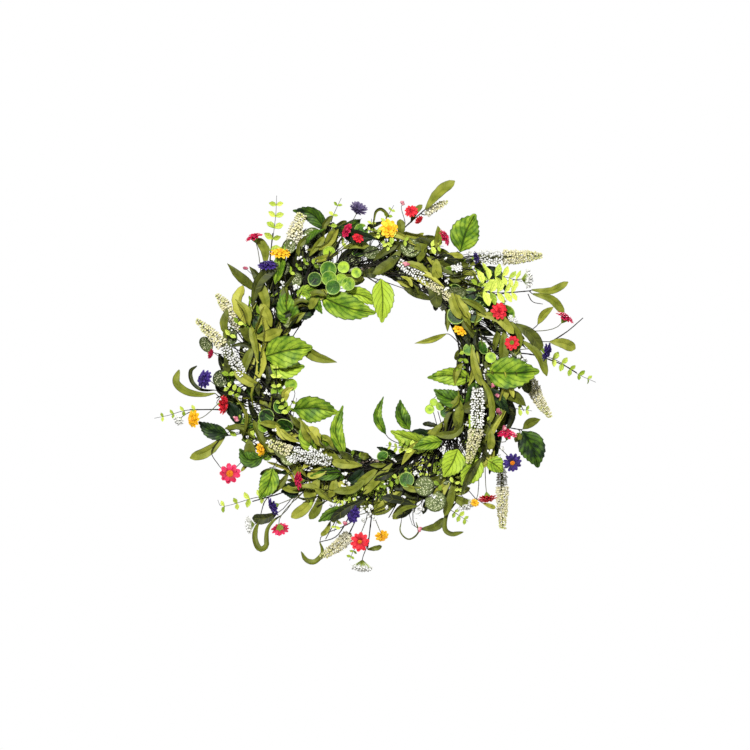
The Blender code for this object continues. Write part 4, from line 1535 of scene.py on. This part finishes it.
    def lower_right(self) -> None:
        """The bunches at the right, below the middle, bindings 5 and 6."""
        s = self.sprig("mint_leaf_sprig_4", 4, Seat.OUTSIDE, (140, -62, 0), (172, -76, 4), (190, -80, 6))
        s.mint((193, -82), (213, -128), 33, 0.2, 0.06)
        s.point((194, -79), (216, -67), 12, 0.35, 0.1)
        s.point((190, -84), (184, -96), 10, 0.4)
        s = self.sprig("daisy_sprig_5", 4, Seat.FRONT_OUTSIDE, (138, -72, 16), (150, -100, 18))
        s.daisy(Finish.CRIMSON, (172, -86, 30), (0.05, 0.93, 0.36), 26, 13)
        s.daisy(Finish.PURPLE, (178, -120, 34), (0.1, -0.35, 0.95), 25, 12, Finish.EYE, 0.24)
        s.daisy(Finish.RED, (147, -164, 28), (0.12, -0.9, 0.35), 25, 13)
        s.daisy(Finish.YELLOW, (132, -171, 26), (-0.3, -0.4, 0.8), 12, 8)
        s.buds([(168, -77, 30), (162, -58, 30)], 4.6, 2.6)
        s = self.sprig("flower_spike_5", 4, Seat.BACK, (136, -80, -8), (162, -112, -9), (168, -134, -9))
        s.spike((168, -128), (169, -206), 15, 0.3, 0.0, 0.5)
        s = self.spray(4)
        s.mint((110, -104, 30), (92, -138, 34), 29, 0.95, 0.05, 4)
        s.mint((132, -112, 28), (116, -150, 32), 29, 0.85, 0.05, 4)
        s.mint((148, -118, 30), (166, -132, 32), 22, 0.75, 0.05)
        s.strap((151, -78, 34), (151, -104, 34), 11, 0.5)
        s.point((112, -50, 26), (110, -82, 30), 15, 0.3)
        s.cluster([(150, -106, 32), (160, -110, 32), (166, -102, 32)])
        s.coins(24, (80, -45, 10, 0.9), (75, -54, 12, 0.95), (95, -58, 14, 0.3), (88, -50, 11, 0.7))
        for step in range(9):
            x, z = 80 + 5.5 * step, -58 + 1.5 * step
            s.twig([(104 + step, -112, 14), (x + 8, -84, 18), (x, z, 18)], 1.3, 0.1 + 0.08 * step)
        s.strap((142, -172, 22), (158, -178, 22), 6, 0.7)

        s = self.sprig("eucalyptus_sprig_1", 5, Seat.FRONT_OUTSIDE, (84, -122, 14), (78, -146, 22))
        s.silver((68, -150, 32), 25, 0.5)
        s.silver((82, -169, 30), 27, 0.55, 0.95)
        s.coin((46, -142, 30), 19, 0.3)
        s.silver((96, -140, 24), 18, 0.35)
        s = self.sprig("mint_leaf_sprig_5", 5, Seat.INSIDE, (60, -98, 10), (50, -94, 13))
        s.mint((20, -86), (17, -38), 12, 0.5, 0.2, 4, 30)
        s.mint((50, -80), (38, -42), 19, 0.4, 0.12, 3, 25)
        s.mint((82, -102, 20), (26, -81, 24), 28, 0.85, 0.02, 6)
        s = self.sprig("strap_leaf_sprig_3", 5, Seat.OUTSIDE, (72, -124, 0), (60, -150, 4), (54, -162, 6))
        s.strap((58, -160), (29, -193), 14, 0.6, 0.06)
        s.strap((40, -158, 18), (3, -186, 18), 12, 0.35, 0.08)
        s.strap((64, -206, 6), (96, -192, 8), 11, 0.3, -0.14)
        s.strap((94, -156, 18), (126, -153, 20), 10, 0.5, -0.1)
        places = (
            (110, -170, 14), (98, -186, 14), (95, -204, 14), (103, -211, 14), (118, -209, 14),
        )
        s.ribbon(places, 7, 0.35, 50, -40)
        places = (
            (40, -192, 16), (39, -208, 16), (49, -217, 16), (60, -209, 16), (58, -196, 16),
        )
        s.ribbon(places, 5, 0.45, 65)
        s = self.spray(5)
        s.umbel((124, -178, 14), (0.4, -0.8, 0.3), 24, 14, 22)
        s.frond([(100, -180, 10), (112, -188, 10), (124, -196, 8)], 3, 9, 0.2)
        s.strap((104, -164, 16), (124, -174, 18), 12, 0.4)
        s.cluster([(60, -186, 24), (66, -180, 22), (54, -180, 24)])
        s.buds([(37, -168, 28), (62, -205, 18)], 4.4, 1.8)
        s.frond([(40, -138, 28), (20, -146, 30), (4, -152, 28)], 4, 9, 0.1, 0.5)

    def bottom(self) -> None:
        """The bunches at the bottom, bindings 7 and 8."""
        s = self.sprig("daisy_sprig_6", 6, Seat.FRONT_OUTSIDE, (8, -148, 18), (0, -190, 24))
        s.daisy(Finish.RED, (-13, -219, 36), (0.15, 0, 1), 25, 10, Finish.EYE, 0.2)
        s.daisy(Finish.YELLOW, (15, -212, 30), (0.2, -0.5, 0.8), 18, 9)
        s.daisy(Finish.PURPLE, (-20, -185, 34), (-0.7, 0.1, 0.6), 24, 12)
        s = self.sprig("umbel_sprig_1", 6, Seat.OUTSIDE, (8, -146, 0), (2, -190, 2), (-3, -232, 4))
        s.umbel((-11, -258), (-0.1, -1, 0.2), 28, 13, 34)
        s.frond([(-16, -226), (-22, -236), (-26, -246)], 2, 7, 0.3)
        s.strap((-3, -232), (15, -228), 7, 0.4)
        s = self.sprig("flower_spike_6", 6, Seat.BACK, (-2, -146, -10), (-16, -190, -10), (-28, -216, -10))
        s.spike((-24, -214), (-63, -243), 15, 0.0, 0.03)
        s.ribbon([(-64, -224), (-60, -238), (-70, -250), (-82, -248), (-88, -236)], 9, 0.45, 30, 30)
        s = self.spray(6)
        s.cluster([(-1, -184, 30), (-8, -192, 30), (6, -190, 28), (-10, -178, 30), (2, -176, 28)])
        s.buds([(-32, -197, 24)], 4.4, 2.0)
        s.frond([(-36, -164, 20), (-40, -186, 20), (-45, -208, 18)], 5, 9, 0.05, 0.85)
        s.frond([(-16, -160, 24), (-30, -172, 24), (-34, -190, 22)], 4, 9, 0.05, 0.75)
        s.twig([(-25, -161, 18), (-42, -192, 16), (-56, -218, 14)], 1.5)
        s.twig([(-26, -189, 20), (-42, -214, 16), (-64, -222, 12)], 1.6)
        s.mint((-32, -112, 22), (-34, -49, 24), 18, 0.65, 0.16, 3, 20)
        s.strap((10, -128, 26), (-16, -150, 28), 12, 0.5)
        s.strap((28, -122, 26), (-8, -160, 28), 12, 0.55)
        s.strap((-10, -124, 26), (-48, -120, 28), 13, 0.6)
        s.strap((-50, -196, 10), (-62, -214, 8), 7, 0.6, 0.1)

        s = self.sprig("daisy_sprig_7", 7, Seat.FRONT_OUTSIDE, (-64, -138, 16), (-94, -168, 24))
        s.daisy(Finish.CRIMSON, (-113, -202, 30), (0.15, -0.7, -0.6), 23, 12, droop=-0.2)
        s.daisy(Finish.PURPLE, (-120, -175, 32), (-0.85, -0.35, 0.4), 26, 13)
        s.daisy(Finish.CRIMSON, (-88, -143, 34), (-0.95, 0, 0.35), 25, 13)
        s = self.sprig("strap_leaf_sprig_4", 7, Seat.OUTSIDE, (-58, -140, 2), (-68, -158, 6))
        s.strap((-68, -160, 22), (-99, -190, 22), 14, 0.65, 0.08)
        s.strap((-62, -160, 20), (-76, -192, 20), 12, 0.4, 0.1)
        s.strap((-64, -142, 22), (-80, -168, 24), 17, 0.55)
        s.strap((-44, -140, 20), (-48, -168, 22), 13, 0.6)
        places = (
            (-112, -188, 14), (-122, -195, 14), (-129, -206, 14), (-130, -218, 14),
            (-130, -226, 15), (-136, -231, 15), (-142, -228, 14), (-146, -216, 12),
            (-144, -204, 11), (-140, -196, 10),
        )
        s.ribbon(places, 8, 0.4, 25)
        s.strap((-118, -186, 8), (-149, -192, 6), 14, 0.15, 0.1)
        s = self.sprig("flower_spike_7", 7, Seat.FRONT_INSIDE, (-56, -112, 18), (-66, -112, 22))
        s.spike((-48, -119, 30), (-125, -96, 30), 17, 0.62, 0.05, 0.6)
        s.umbel((-100, -120, 30), (-0.3, -0.9, 0.3), 15, 18, 22)
        s = self.sprig("fern_sprig_3", 7, Seat.BACK, (-76, -142, -8), (-110, -160, -9), (-150, -172, -8))
        s.frond(
            [(-126, -164), (-150, -168), (-176, -176), (-190, -178), (-194, -170)], 4, 11, 0.08, 0.75, 0.6
        )
        s.umbel((-157, -202), (-1, -0.1, 0.2), 23, 10, 26)
        s = self.spray(7)
        s.coin((-107, -74, 26), 22, 0.2, 0.7)
        s.mint((-122, -128, 24), (-139, -166, 26), 24, 0.6, 0.08)
        s.point((-102, -134, 24), (-124, -162, 22), 9, 0.35)
        s.mint((-88, -152, 16), (-112, -158, 16), 22, 0.05)

    def left(self) -> None:
        """The bunches at the left, bindings 9 and 10."""
        s = self.sprig("daisy_sprig_8", 8, Seat.FRONT_OUTSIDE, (-122, -88, 16), (-152, -104, 24))
        s.daisy(Finish.CRIMSON, (-175, -134, 34), (0, 0, 1), 27, 9, Finish.EYE, 0.34)
        s.daisy(Finish.YELLOW, (-138, -104, 30), (0.8, 0.1, 0.5), 19, 10)
        s.strap((-152, -92, 22), (-150, -114, 22), 15, 0.35)
        s.strap((-146, -112, 22), (-162, -132, 24), 5, 0.6)
        s = self.sprig("strap_leaf_sprig_5", 8, Seat.OUTSIDE, (-122, -80, 0), (-156, -84, 4), (-184, -88, 6))
        s.strap((-184, -89), (-228, -116), 14, 0.6, 0.08)
        s.mint((-180, -86), (-217, -70), 20, 0.1, 0.1)
        s.twig([(-190, -92, 8), (-200, -108, 16), (-190, -124, 24), (-186, -128, 28)], 1.3)
        s = self.sprig("mint_leaf_sprig_6", 8, Seat.INSIDE, (-100, -62, 10), (-100, -56, 12))
        s.mint((-96, -54, 20), (-40, -58, 24), 34, 0.6, 0.06, 6)
        s.mint((-68, -106, 22), (-84, -70, 26), 23, 0.7, 0.08, 5)
        s = self.sprig("fern_sprig_4", 8, Seat.BACK, (-130, -68, -9), (-180, -56, -10), (-230, -55, -9))
        s.frond([(-214, -55), (-236, -56), (-256, -62), (-275, -66)], 4, 9, 0.08, 0.75, 0.6)
        s.umbel((-246, -70), (-0.6, -0.6, 0.5), 14, 8, 14)
        s = self.spray(8)
        s.coins(26, (-130, -63, 20, 0.1), (-116, -32, 17, 0.8), (-99, -23, 16, 0.8), (-112, -50, 19, 0.35))
        s.frond([(-186, -88, 16), (-166, -78, 18), (-124, -82, 20)], 4, 10, 0.1, 0.6)
        s.buds([(-169, -65, 26)], 4.4, 2.2)

        s = self.sprig("daisy_sprig_9", 9, Seat.OUTSIDE, (-148, -20, 2), (-176, -32, 10), (-194, -40, 14))
        s.daisy(Finish.YELLOW, (-221, -66, 20), (-0.7, 0, 0.7), 24, 10)
        s.daisy(Finish.RED, (-185, -48, 30), (0.9, -0.1, 0.4), 25, 12)
        s.daisy(Finish.PURPLE, (-207, -16, 24), (-0.6, 0.2, 0.75), 25, 12)
        places = (
            (-196, -34, 14), (-212, -36, 14), (-232, -32, 12), (-245, -20, 12), (-241, -4, 12),
        )
        s.ribbon(places, 10, 0.5, 20, -10)
        s.ribbon([(-196, -30, 8), (-214, -30, 8), (-226, -20, 6), (-228, -6, 6), (-219, 1, 6)], 7, 0.15, 45)
        s = self.sprig("mint_leaf_sprig_7", 9, Seat.FRONT_INSIDE, (-122, 4, 18), (-128, 12, 22))
        s.mint((-132, 12, 28), (-72, 24, 32), 40, 0.65, 0.03, 7)
        s.mint((-126, 4, 24), (-82, 0, 26), 28, 0.8, -0.1)
        s.point((-92, 32, 22), (-41, 5, 26), 14, 0.5, -0.1, 4, 20)
        s.strap((-150, 18, 22), (-158, -4, 22), 16, 0.8, 0.1)
        s = self.sprig("flower_spike_8", 9, Seat.FRONT, (-142, 0, 28), (-168, 6, 32))
        s.spike((-158, -12, 36), (-217, 58, 32), 16, 0.5, -0.05)
        s = self.sprig("flower_spike_9", 9, Seat.BACK, (-134, 8, -8), (-152, 34, -10), (-166, 50, -10))
        s.spike((-164, 44), (-195, 92), 16, 0.0, -0.03)
        s = self.spray(9)
        s.silver((-176, 39, 22), 23, 0.5, 0.8)
        s.silver((-206, 28, 20), 21, 0.4, 0.7)
        s.silver((-187, -15, 24), 22, 0.2, 0.9)
        s.silver((-156, -15, 26), 18, 0.4, 0.6)
        s.daisy(Finish.CRIMSON, (-201, 16, 24), (0.9, -0.3, 0.3), 14, 9)
        s.point((-150, 30, 22), (-163, 54, 22), 12, 0.3)
        s.ribbon([(-176, 25, 26), (-158, 28, 26), (-146, 18, 26), (-136, 6, 26)], 8, 0.15, 20)
        s.mint((-100, 50, 22), (-112, 92, 26), 28, 0.55, -0.06, 4)
        s.twig([(-182, 21, 22), (-146, -3, 26), (-127, -14, 24)], 1.8)
        s.twig([(-150, 62, 20), (-132, 20, 26), (-118, -20, 24)], 1.6, 0.5)

    def upper_left(self) -> None:
        """The bunches at the left, above the middle, bindings 11 and 12."""
        s = self.sprig("daisy_sprig_10", 10, Seat.FRONT_OUTSIDE, (-128, 70, 18), (-128, 104, 26))
        s.daisy(Finish.YELLOW, (-112, 140, 36), (0.1, 0.85, 0.5), 27, 13)
        s.daisy(Finish.PURPLE, (-128, 125, 38), (0, 0.85, 0.45), 26, 15)
        s.daisy(Finish.CRIMSON, (-145, 161, 26), (-0.3, 0.9, 0.3), 24, 12)
        s = self.sprig("strap_leaf_sprig_6", 10, Seat.OUTSIDE, (-136, 70, 0), (-140, 106, 4), (-138, 126, 4))
        s.strap((-132, 128, 16), (-142, 162, 14), 12, 0.5, -0.14)
        s.strap((-128, 68, 26), (-142, 106, 28), 14, 0.55, -0.06)
        s.strap((-124, 50, 26), (-137, 78, 30), 13, 0.65, -0.06)
        s.point((-140, 94, 16), (-180, 130, 16), 13, 0.3, 0.05)
        s.point((-136, 98, 18), (-152, 126, 18), 11, 0.2, -0.1)
        s.point((-110, 46, 30), (-144, 36, 32), 16, 0.6, 0.1)
        s = self.sprig("fern_sprig_5", 10, Seat.BACK, (-130, 86, -9), (-128, 130, -10), (-124, 170, -9))
        s.frond([(-128, 142), (-123, 170), (-120, 196), (-119, 218)], 5, 13, 0.02, 0.8, 0.62)
        s = self.spray(10)
        s.mint((-98, 56, 24), (-104, 94, 28), 26, 0.5, 0.1, 4)
        s.silver((-107, 123, 28), 18, 0.1, 0.7)
        s.silver((-92, 109, 28), 18, 0.5, 0.8)
        s.mint((-92, 98, 24), (-76, 76, 26), 14, 0.6, 0.1)
        s.spike((-98, 152, 14), (-86, 192, 12), 17, 0.0, 0.05, 0.7)
        s.buds([(-157, 124, 20)], 4.0, 1.8)

        s = self.sprig("mint_leaf_sprig_8", 11, Seat.OUTSIDE, (-66, 122, 0), (-54, 156, 2), (-52, 172, 2))
        s.mint((-56, 174), (-98, 198), 20, 0.2, -0.16)
        s.mint((-12, 186, 8), (-52, 170, 8), 17, 0.15, 0.14)
        s = self.sprig("eucalyptus_sprig_2", 11, Seat.FRONT_OUTSIDE, (-72, 118, 16), (-66, 144, 20))
        s.silver((-72, 162, 26), 25, 0.6)
        s.silver((-58, 140, 28), 14, 0.4, 0.7)
        s.strap((-56, 146, 22), (-44, 170, 22), 15, 0.6)
        s = self.sprig("round_leaf_sprig_1", 11, Seat.FRONT_INSIDE, (-60, 104, 20), (-40, 112, 26))
        first = ((-52, 121, 21, 0.45), (-51, 110, 19, 0.5), (-46, 99, 19, 0.4), (-69, 109, 18, 0.1))
        second = ((-33, 124, 15, 0.95), (-17, 117, 13, 0.9), (-27, 103, 17, 0.7), (-36, 108, 16, 0.75))
        for x, z, width, tone in first + second:
            s.coin((x, z, stepped(34, x + z)), width, tone)
        s = self.sprig("mint_leaf_sprig_9", 11, Seat.INSIDE, (-66, 90, 10), (-60, 84, 12))
        s.mint((-62, 88, 20), (7, 67, 24), 33, 0.6, -0.06, 6)
        s.mint((-34, 92, 18), (10, 78, 16), 20, 0.85, 0.1)
        s.twig([(-62, 84), (-78, 68), (-98, 38)], 1.8, 0.2)
        s = self.sprig("daisy_sprig_11", 11, Seat.FRONT, (-60, 126, 31), (-38, 147, 38))
        s.daisy(Finish.CRIMSON, (-28, 169, 42), (-0.75, 0.35, 0.5), 20, 10)
        s.daisy(Finish.RED, (-15, 160, 40), (0.3, 0.5, 0.8), 15, 9)
        s.daisy(Finish.MAUVE, (-15, 195, 34), (0.3, 0.6, 0.7), 24, 15, droop=-0.3)
        s.frond([(-52, 168, 24), (-46, 190, 22), (-36, 212, 20)], 3, 8, 0.1, 0.75)
        s = self.spray(11)
        s.point((-88, 150, 20), (-90, 124, 20), 12, 0.15)
        s.strap((-62, 96, 24), (-76, 72, 26), 11, 0.5)
        s.strap((-34, 148, 24), (0, 150, 26), 10, 0.5, 0.1)
        s.mint((-76, 96, 22), (-60, 66, 24), 14, 0.4)


@dataclass(frozen=True)
class Mix:
    """What fills the ring between one binding and the next, and how far it reaches.

    The first three numbers are how many of each there are, the next two are millimetres in and
    out from the ring's line, and the next five are the shares of each leaf. The rest are fronds.
    """

    stems: int
    # under: how many near-black leaves lie low down, as painted shade in the gaps.
    under: int
    leaves: int
    inner: float
    outer: float
    strap: float
    mint: float
    point: float
    coin: float
    eucalyptus: float
    whites: int
    tone: float = 0.42


MIXES = (
    Mix(22, 16, 26, 8, 52, 0.44, 0.06, 0.16, 0.06, 0.18, 3, 0.5),
    Mix(30, 20, 28, 16, 64, 0.48, 0.06, 0.24, 0.03, 0.08, 6, 0.48),
    Mix(28, 26, 31, 18, 68, 0.40, 0.10, 0.18, 0.14, 0.02, 5, 0.36),
    Mix(34, 24, 33, 16, 66, 0.48, 0.14, 0.18, 0.05, 0.02, 9),
    Mix(36, 26, 31, 34, 68, 0.40, 0.20, 0.20, 0.04, 0.02, 8, 0.5),
    Mix(32, 26, 33, 24, 68, 0.44, 0.12, 0.16, 0.08, 0.06, 7),
    Mix(34, 24, 31, 12, 66, 0.48, 0.08, 0.18, 0.04, 0.02, 12, 0.46),
    Mix(30, 22, 30, 16, 58, 0.58, 0.08, 0.18, 0.02, 0.02, 5, 0.46),
    Mix(28, 26, 34, 26, 68, 0.36, 0.18, 0.16, 0.16, 0.02, 6, 0.44),
    Mix(30, 24, 31, 24, 66, 0.44, 0.14, 0.20, 0.06, 0.06, 7, 0.42),
    Mix(28, 20, 26, 20, 52, 0.52, 0.14, 0.20, 0.02, 0.04, 5, 0.46),
    Mix(28, 22, 28, 14, 64, 0.44, 0.08, 0.18, 0.10, 0.12, 5, 0.36),
)


@dataclass
class Filling:
    """The foliage that hides the ring between one binding and the next."""

    spray: Sprig
    mix: Mix
    swing_radius: float = 125.0

    def spot(self, degrees: float, out: float, forward: float) -> Place:
        """A board place past the spray's own binding, as `Ring.past` says."""
        return self.spray.ring.past(self.spray.binding, degrees, out, forward)

    def grow(self) -> None:
        """Grows the bare stems, the near-black leaves underneath as painted shade, the leaves over them and
        the white buds.
        """
        draw = self.spray.chance.uniform
        for _ in range(self.mix.stems):
            start, out = draw(-6, 24), draw(-10, 12)
            reach, rise = draw(12, 26), draw(-6, self.mix.outer * 0.9)
            forward = draw(4, 24)
            places = []
            for t in (0, 0.33, 0.66, 1):
                places.append(self.spot(start + reach * t, out + rise * t**1.6, forward + 6 * t))
            self.spray.twig(places, draw(1.1, 2.0), draw(0, 0.5) ** 1.5)
        # Painted shade: near-black leaves of tone 0, low behind the others, fill the gaps with dark.
        for _ in range(self.mix.under):
            self.leaf(draw(-8, 8), 0.0)
        for _ in range(self.mix.leaves):
            self.leaf(draw(8, 32), self.mix.tone)
        for _ in range(self.mix.whites):
            out = draw(-6, self.mix.outer)
            self.spray.cluster([self.spot(draw(0, 28), out, draw(22, 34))], 3.0, 3.4)

    def leaf(self, forward: float, tone: float) -> None:
        """One leaf of the filling, leaning clockwise and outwards.

        Args:
            forward: How far forward its foot is, in millimetres.
            tone: How light such leaves are on the whole.
        """
        draw = self.spray.chance.uniform
        degrees = draw(-2, 28)
        out = draw(-12, self.mix.outer * 0.9)
        kind = draw()
        long = draw(20, 46)
        lean = math.radians(draw(-34, 62) if out > 0 else draw(-70, 30))
        swing = math.degrees(long * math.cos(lean) / self.swing_radius)
        far = min(max(out + long * math.sin(lean), -self.mix.inner), self.mix.outer + draw(-4, 22))
        base = self.spot(degrees, out, forward)
        tip = self.spot(degrees + swing, far, forward + draw(-4, 9))
        shade = self.spray.near(tone, 0.27)
        pose = (shade, self.spray.chance.normal(0, 0.12), 3, self.spray.chance.normal(0, 32))
        mix = self.mix
        steps = np.cumsum((mix.strap, mix.mint, mix.point, mix.coin, mix.eucalyptus))
        if kind < steps[0]:
            self.spray.strap(base, tip, long * draw(0.24, 0.4), *pose)
        elif kind < steps[1]:
            self.spray.mint(base, tip, draw(13, 21), *pose)
        elif kind < steps[2]:
            self.spray.point(base, tip, draw(7, 12), *pose)
        elif kind < steps[3]:
            self.spray.coin(base, draw(12, 18), shade, draw(0.6, 1))
        elif kind < steps[4]:
            self.spray.silver(base, draw(14, 20), shade, draw(0.5, 1))
        else:
            middle = tuple((a + b) / 2 for a, b in zip(base, tip))
            self.spray.frond([base, middle, tip], 3, draw(7, 10), 0.1, 0.35 + shade * 0.6)


# ---------------------------------------------------------------- ring, bindings and studio


@dataclass
class RingDressing:
    """The knotty vine strands, the wound tape and the steel hoop."""

    forms: Forms
    ring: Ring
    strands: int = 3
    strand_steps: int = 180
    vine_width: float = 4.3 * MM
    tape_turns: int = 4
    tape_width: float = 3.6 * MM
    tape_step: float = 3.6 * 0.78 * MM
    tape_rise: float = 0.25 * MM

    def vines(self) -> None:
        """The strands twisted round the hoop, uneven and with a tone that changes along them."""
        for strand in range(self.strands):
            piece = Piece.in_place_of(f"vine_strand_{strand + 1}", "_twig")
            points = []
            for step in range(self.strand_steps + 1):
                share = step / self.strand_steps
                turn = math.tau * (self.ring.vine_turns * share + strand / self.strands)
                wobble = 1 + 0.05 * math.sin(37 * share * math.tau + strand)
                points.append(self.ring.around(math.tau * share, turn, self.ring.helix_radius * wobble))
            tone = 0.4 + 0.3 * np.sin(self.forms.vine.points[:, 0] * 60 + strand)
            piece.lay(self.forms.vine, Path(points, 2), Finish.BARK, self.vine_width, tone)
            piece.finish()

    def bindings(self) -> None:
        """Tape wound in a few overlapping turns at each binding, every other one higher."""
        for number, clock in enumerate(self.ring.binding_clocks):
            piece = Piece.in_place_of(f"binding_{number + 1}", "_tape")
            for turn in range(self.tape_turns):
                off = (turn - (self.tape_turns - 1) / 2) * self.tape_step
                lean = 0.1 * (-1) ** turn
                look = unit(self.ring.along(clock) + self.ring.outward(clock) * lean)
                middle = self.ring.around(clock, 0, 0) + self.ring.along(clock) * off
                radius = self.ring.tape_radius + self.tape_rise * (turn % 2)
                size = (radius, radius, self.tape_width)
                axes = turned_to(look, 0.3 * turn)
                piece.put(self.forms.band, middle, axes, size, Finish.TAPE, 0.3 + 0.15 * turn)
            piece.finish()

    def hoop(self) -> None:
        """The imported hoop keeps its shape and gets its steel."""
        hoop = frame["nodes"]["wire_hoop"]
        hoop.data.materials.clear()
        hoop.data.materials.append(Finish.STEEL.value.material())
        log.info("wire_hoop: steel on %s", BODY_OF["wire_hoop"])


@dataclass(frozen=True)
class Lamp:
    """One square soft lamp, aimed at the middle of the ring."""

    name: str
    place: Place
    power: float
    size: float


@dataclass
class Studio:
    """The pale floor, the soft white light and the camera in front."""

    ring: Ring
    lens: float = 85.0
    distance: float = 2249.0
    aim: Place = (6.35, -10.8)
    floor_drop: float = 0.37
    floor_radius: float = 0.62
    floor_thickness: float = 0.02
    floor_edge: float = 0.004
    room_light: float = 0.14
    lamps: tuple[Lamp, ...] = (
        Lamp("key_lamp", (-330, 760, 1900), 72.0, 0.25),
        Lamp("fill_lamp", (1100, 300, 1300), 8.0, 0.9),
        Lamp("back_lamp", (700, 1000, -1600), 50.0, 0.8),
    )

    def floor(self) -> None:
        """A round pale floor with a soft edge, well under the wreath."""
        bpy.ops.object.select_all(action="DESELECT")
        place = (self.ring.centre[0], self.ring.centre[1], CAD_BOX[0].z - self.floor_drop)
        disc = {"vertices": 96, "radius": self.floor_radius, "depth": self.floor_thickness}
        bpy.ops.mesh.primitive_cylinder_add(**disc, location=place)
        floor = bpy.context.object
        floor.name = "floor"
        edge = floor.modifiers.new("edge", "BEVEL")
        edge.width = self.floor_edge
        edge.segments = 3
        bpy.ops.object.modifier_apply(modifier="edge")
        floor.data.materials.append(Finish.FLOOR.material())

    def room(self) -> None:
        """A white room that lights the wreath only a little."""
        world = bpy.data.worlds.new("white_room")
        bpy.context.scene.world = world
        world.use_nodes = True
        tree = world.node_tree
        background = tree.nodes["Background"]
        background.inputs["Color"].default_value = (1, 1, 1, 1)
        seen = tree.nodes.new("ShaderNodeLightPath")
        strength = tree.nodes.new("ShaderNodeMapRange")
        strength.inputs["To Min"].default_value = self.room_light
        tree.links.new(seen.outputs["Is Camera Ray"], strength.inputs["Value"])
        tree.links.new(strength.outputs[0], background.inputs["Strength"])
        bpy.context.scene.view_settings.view_transform = "Standard"

    def lights(self) -> None:
        """The soft lamps: a strong one in front, a weak one to its side and one behind."""
        for lamp in self.lamps:
            data = bpy.data.lights.new(lamp.name, "AREA")
            data.energy = lamp.power
            data.size = lamp.size
            made = bpy.data.objects.new(lamp.name, data)
            bpy.context.scene.collection.objects.link(made)
            place = self.ring.board(*lamp.place)
            made.location = place
            aim = Vector(self.ring.centre - place)
            made.rotation_euler = aim.to_track_quat("-Z", "Y").to_euler()

    def camera(self) -> None:
        """A long lens square on to the wreath."""
        data = bpy.data.cameras.new("camera")
        data.lens = self.lens
        data.clip_end = 20
        camera = bpy.data.objects.new("camera", data)
        bpy.context.scene.collection.objects.link(camera)
        camera.location = self.ring.board(*self.aim, self.distance)
        camera.rotation_euler = (math.pi / 2, 0, 0)
        bpy.context.scene.camera = camera


def main() -> None:
    """Builds the ring's dressing and the wreath, then the studio round it."""
    logging.basicConfig(level=logging.INFO, format="%(name)s %(message)s")
    forms = Forms()
    ring = Ring.read()
    dressing = RingDressing(forms, ring)
    dressing.hoop()
    dressing.vines()
    dressing.bindings()
    wreath = Wreath(forms, ring)
    wreath.grow()
    wreath.finish()
    studio = Studio(ring)
    studio.floor()
    studio.room()
    studio.lights()
    studio.camera()


if __name__ == "__main__":
    main()
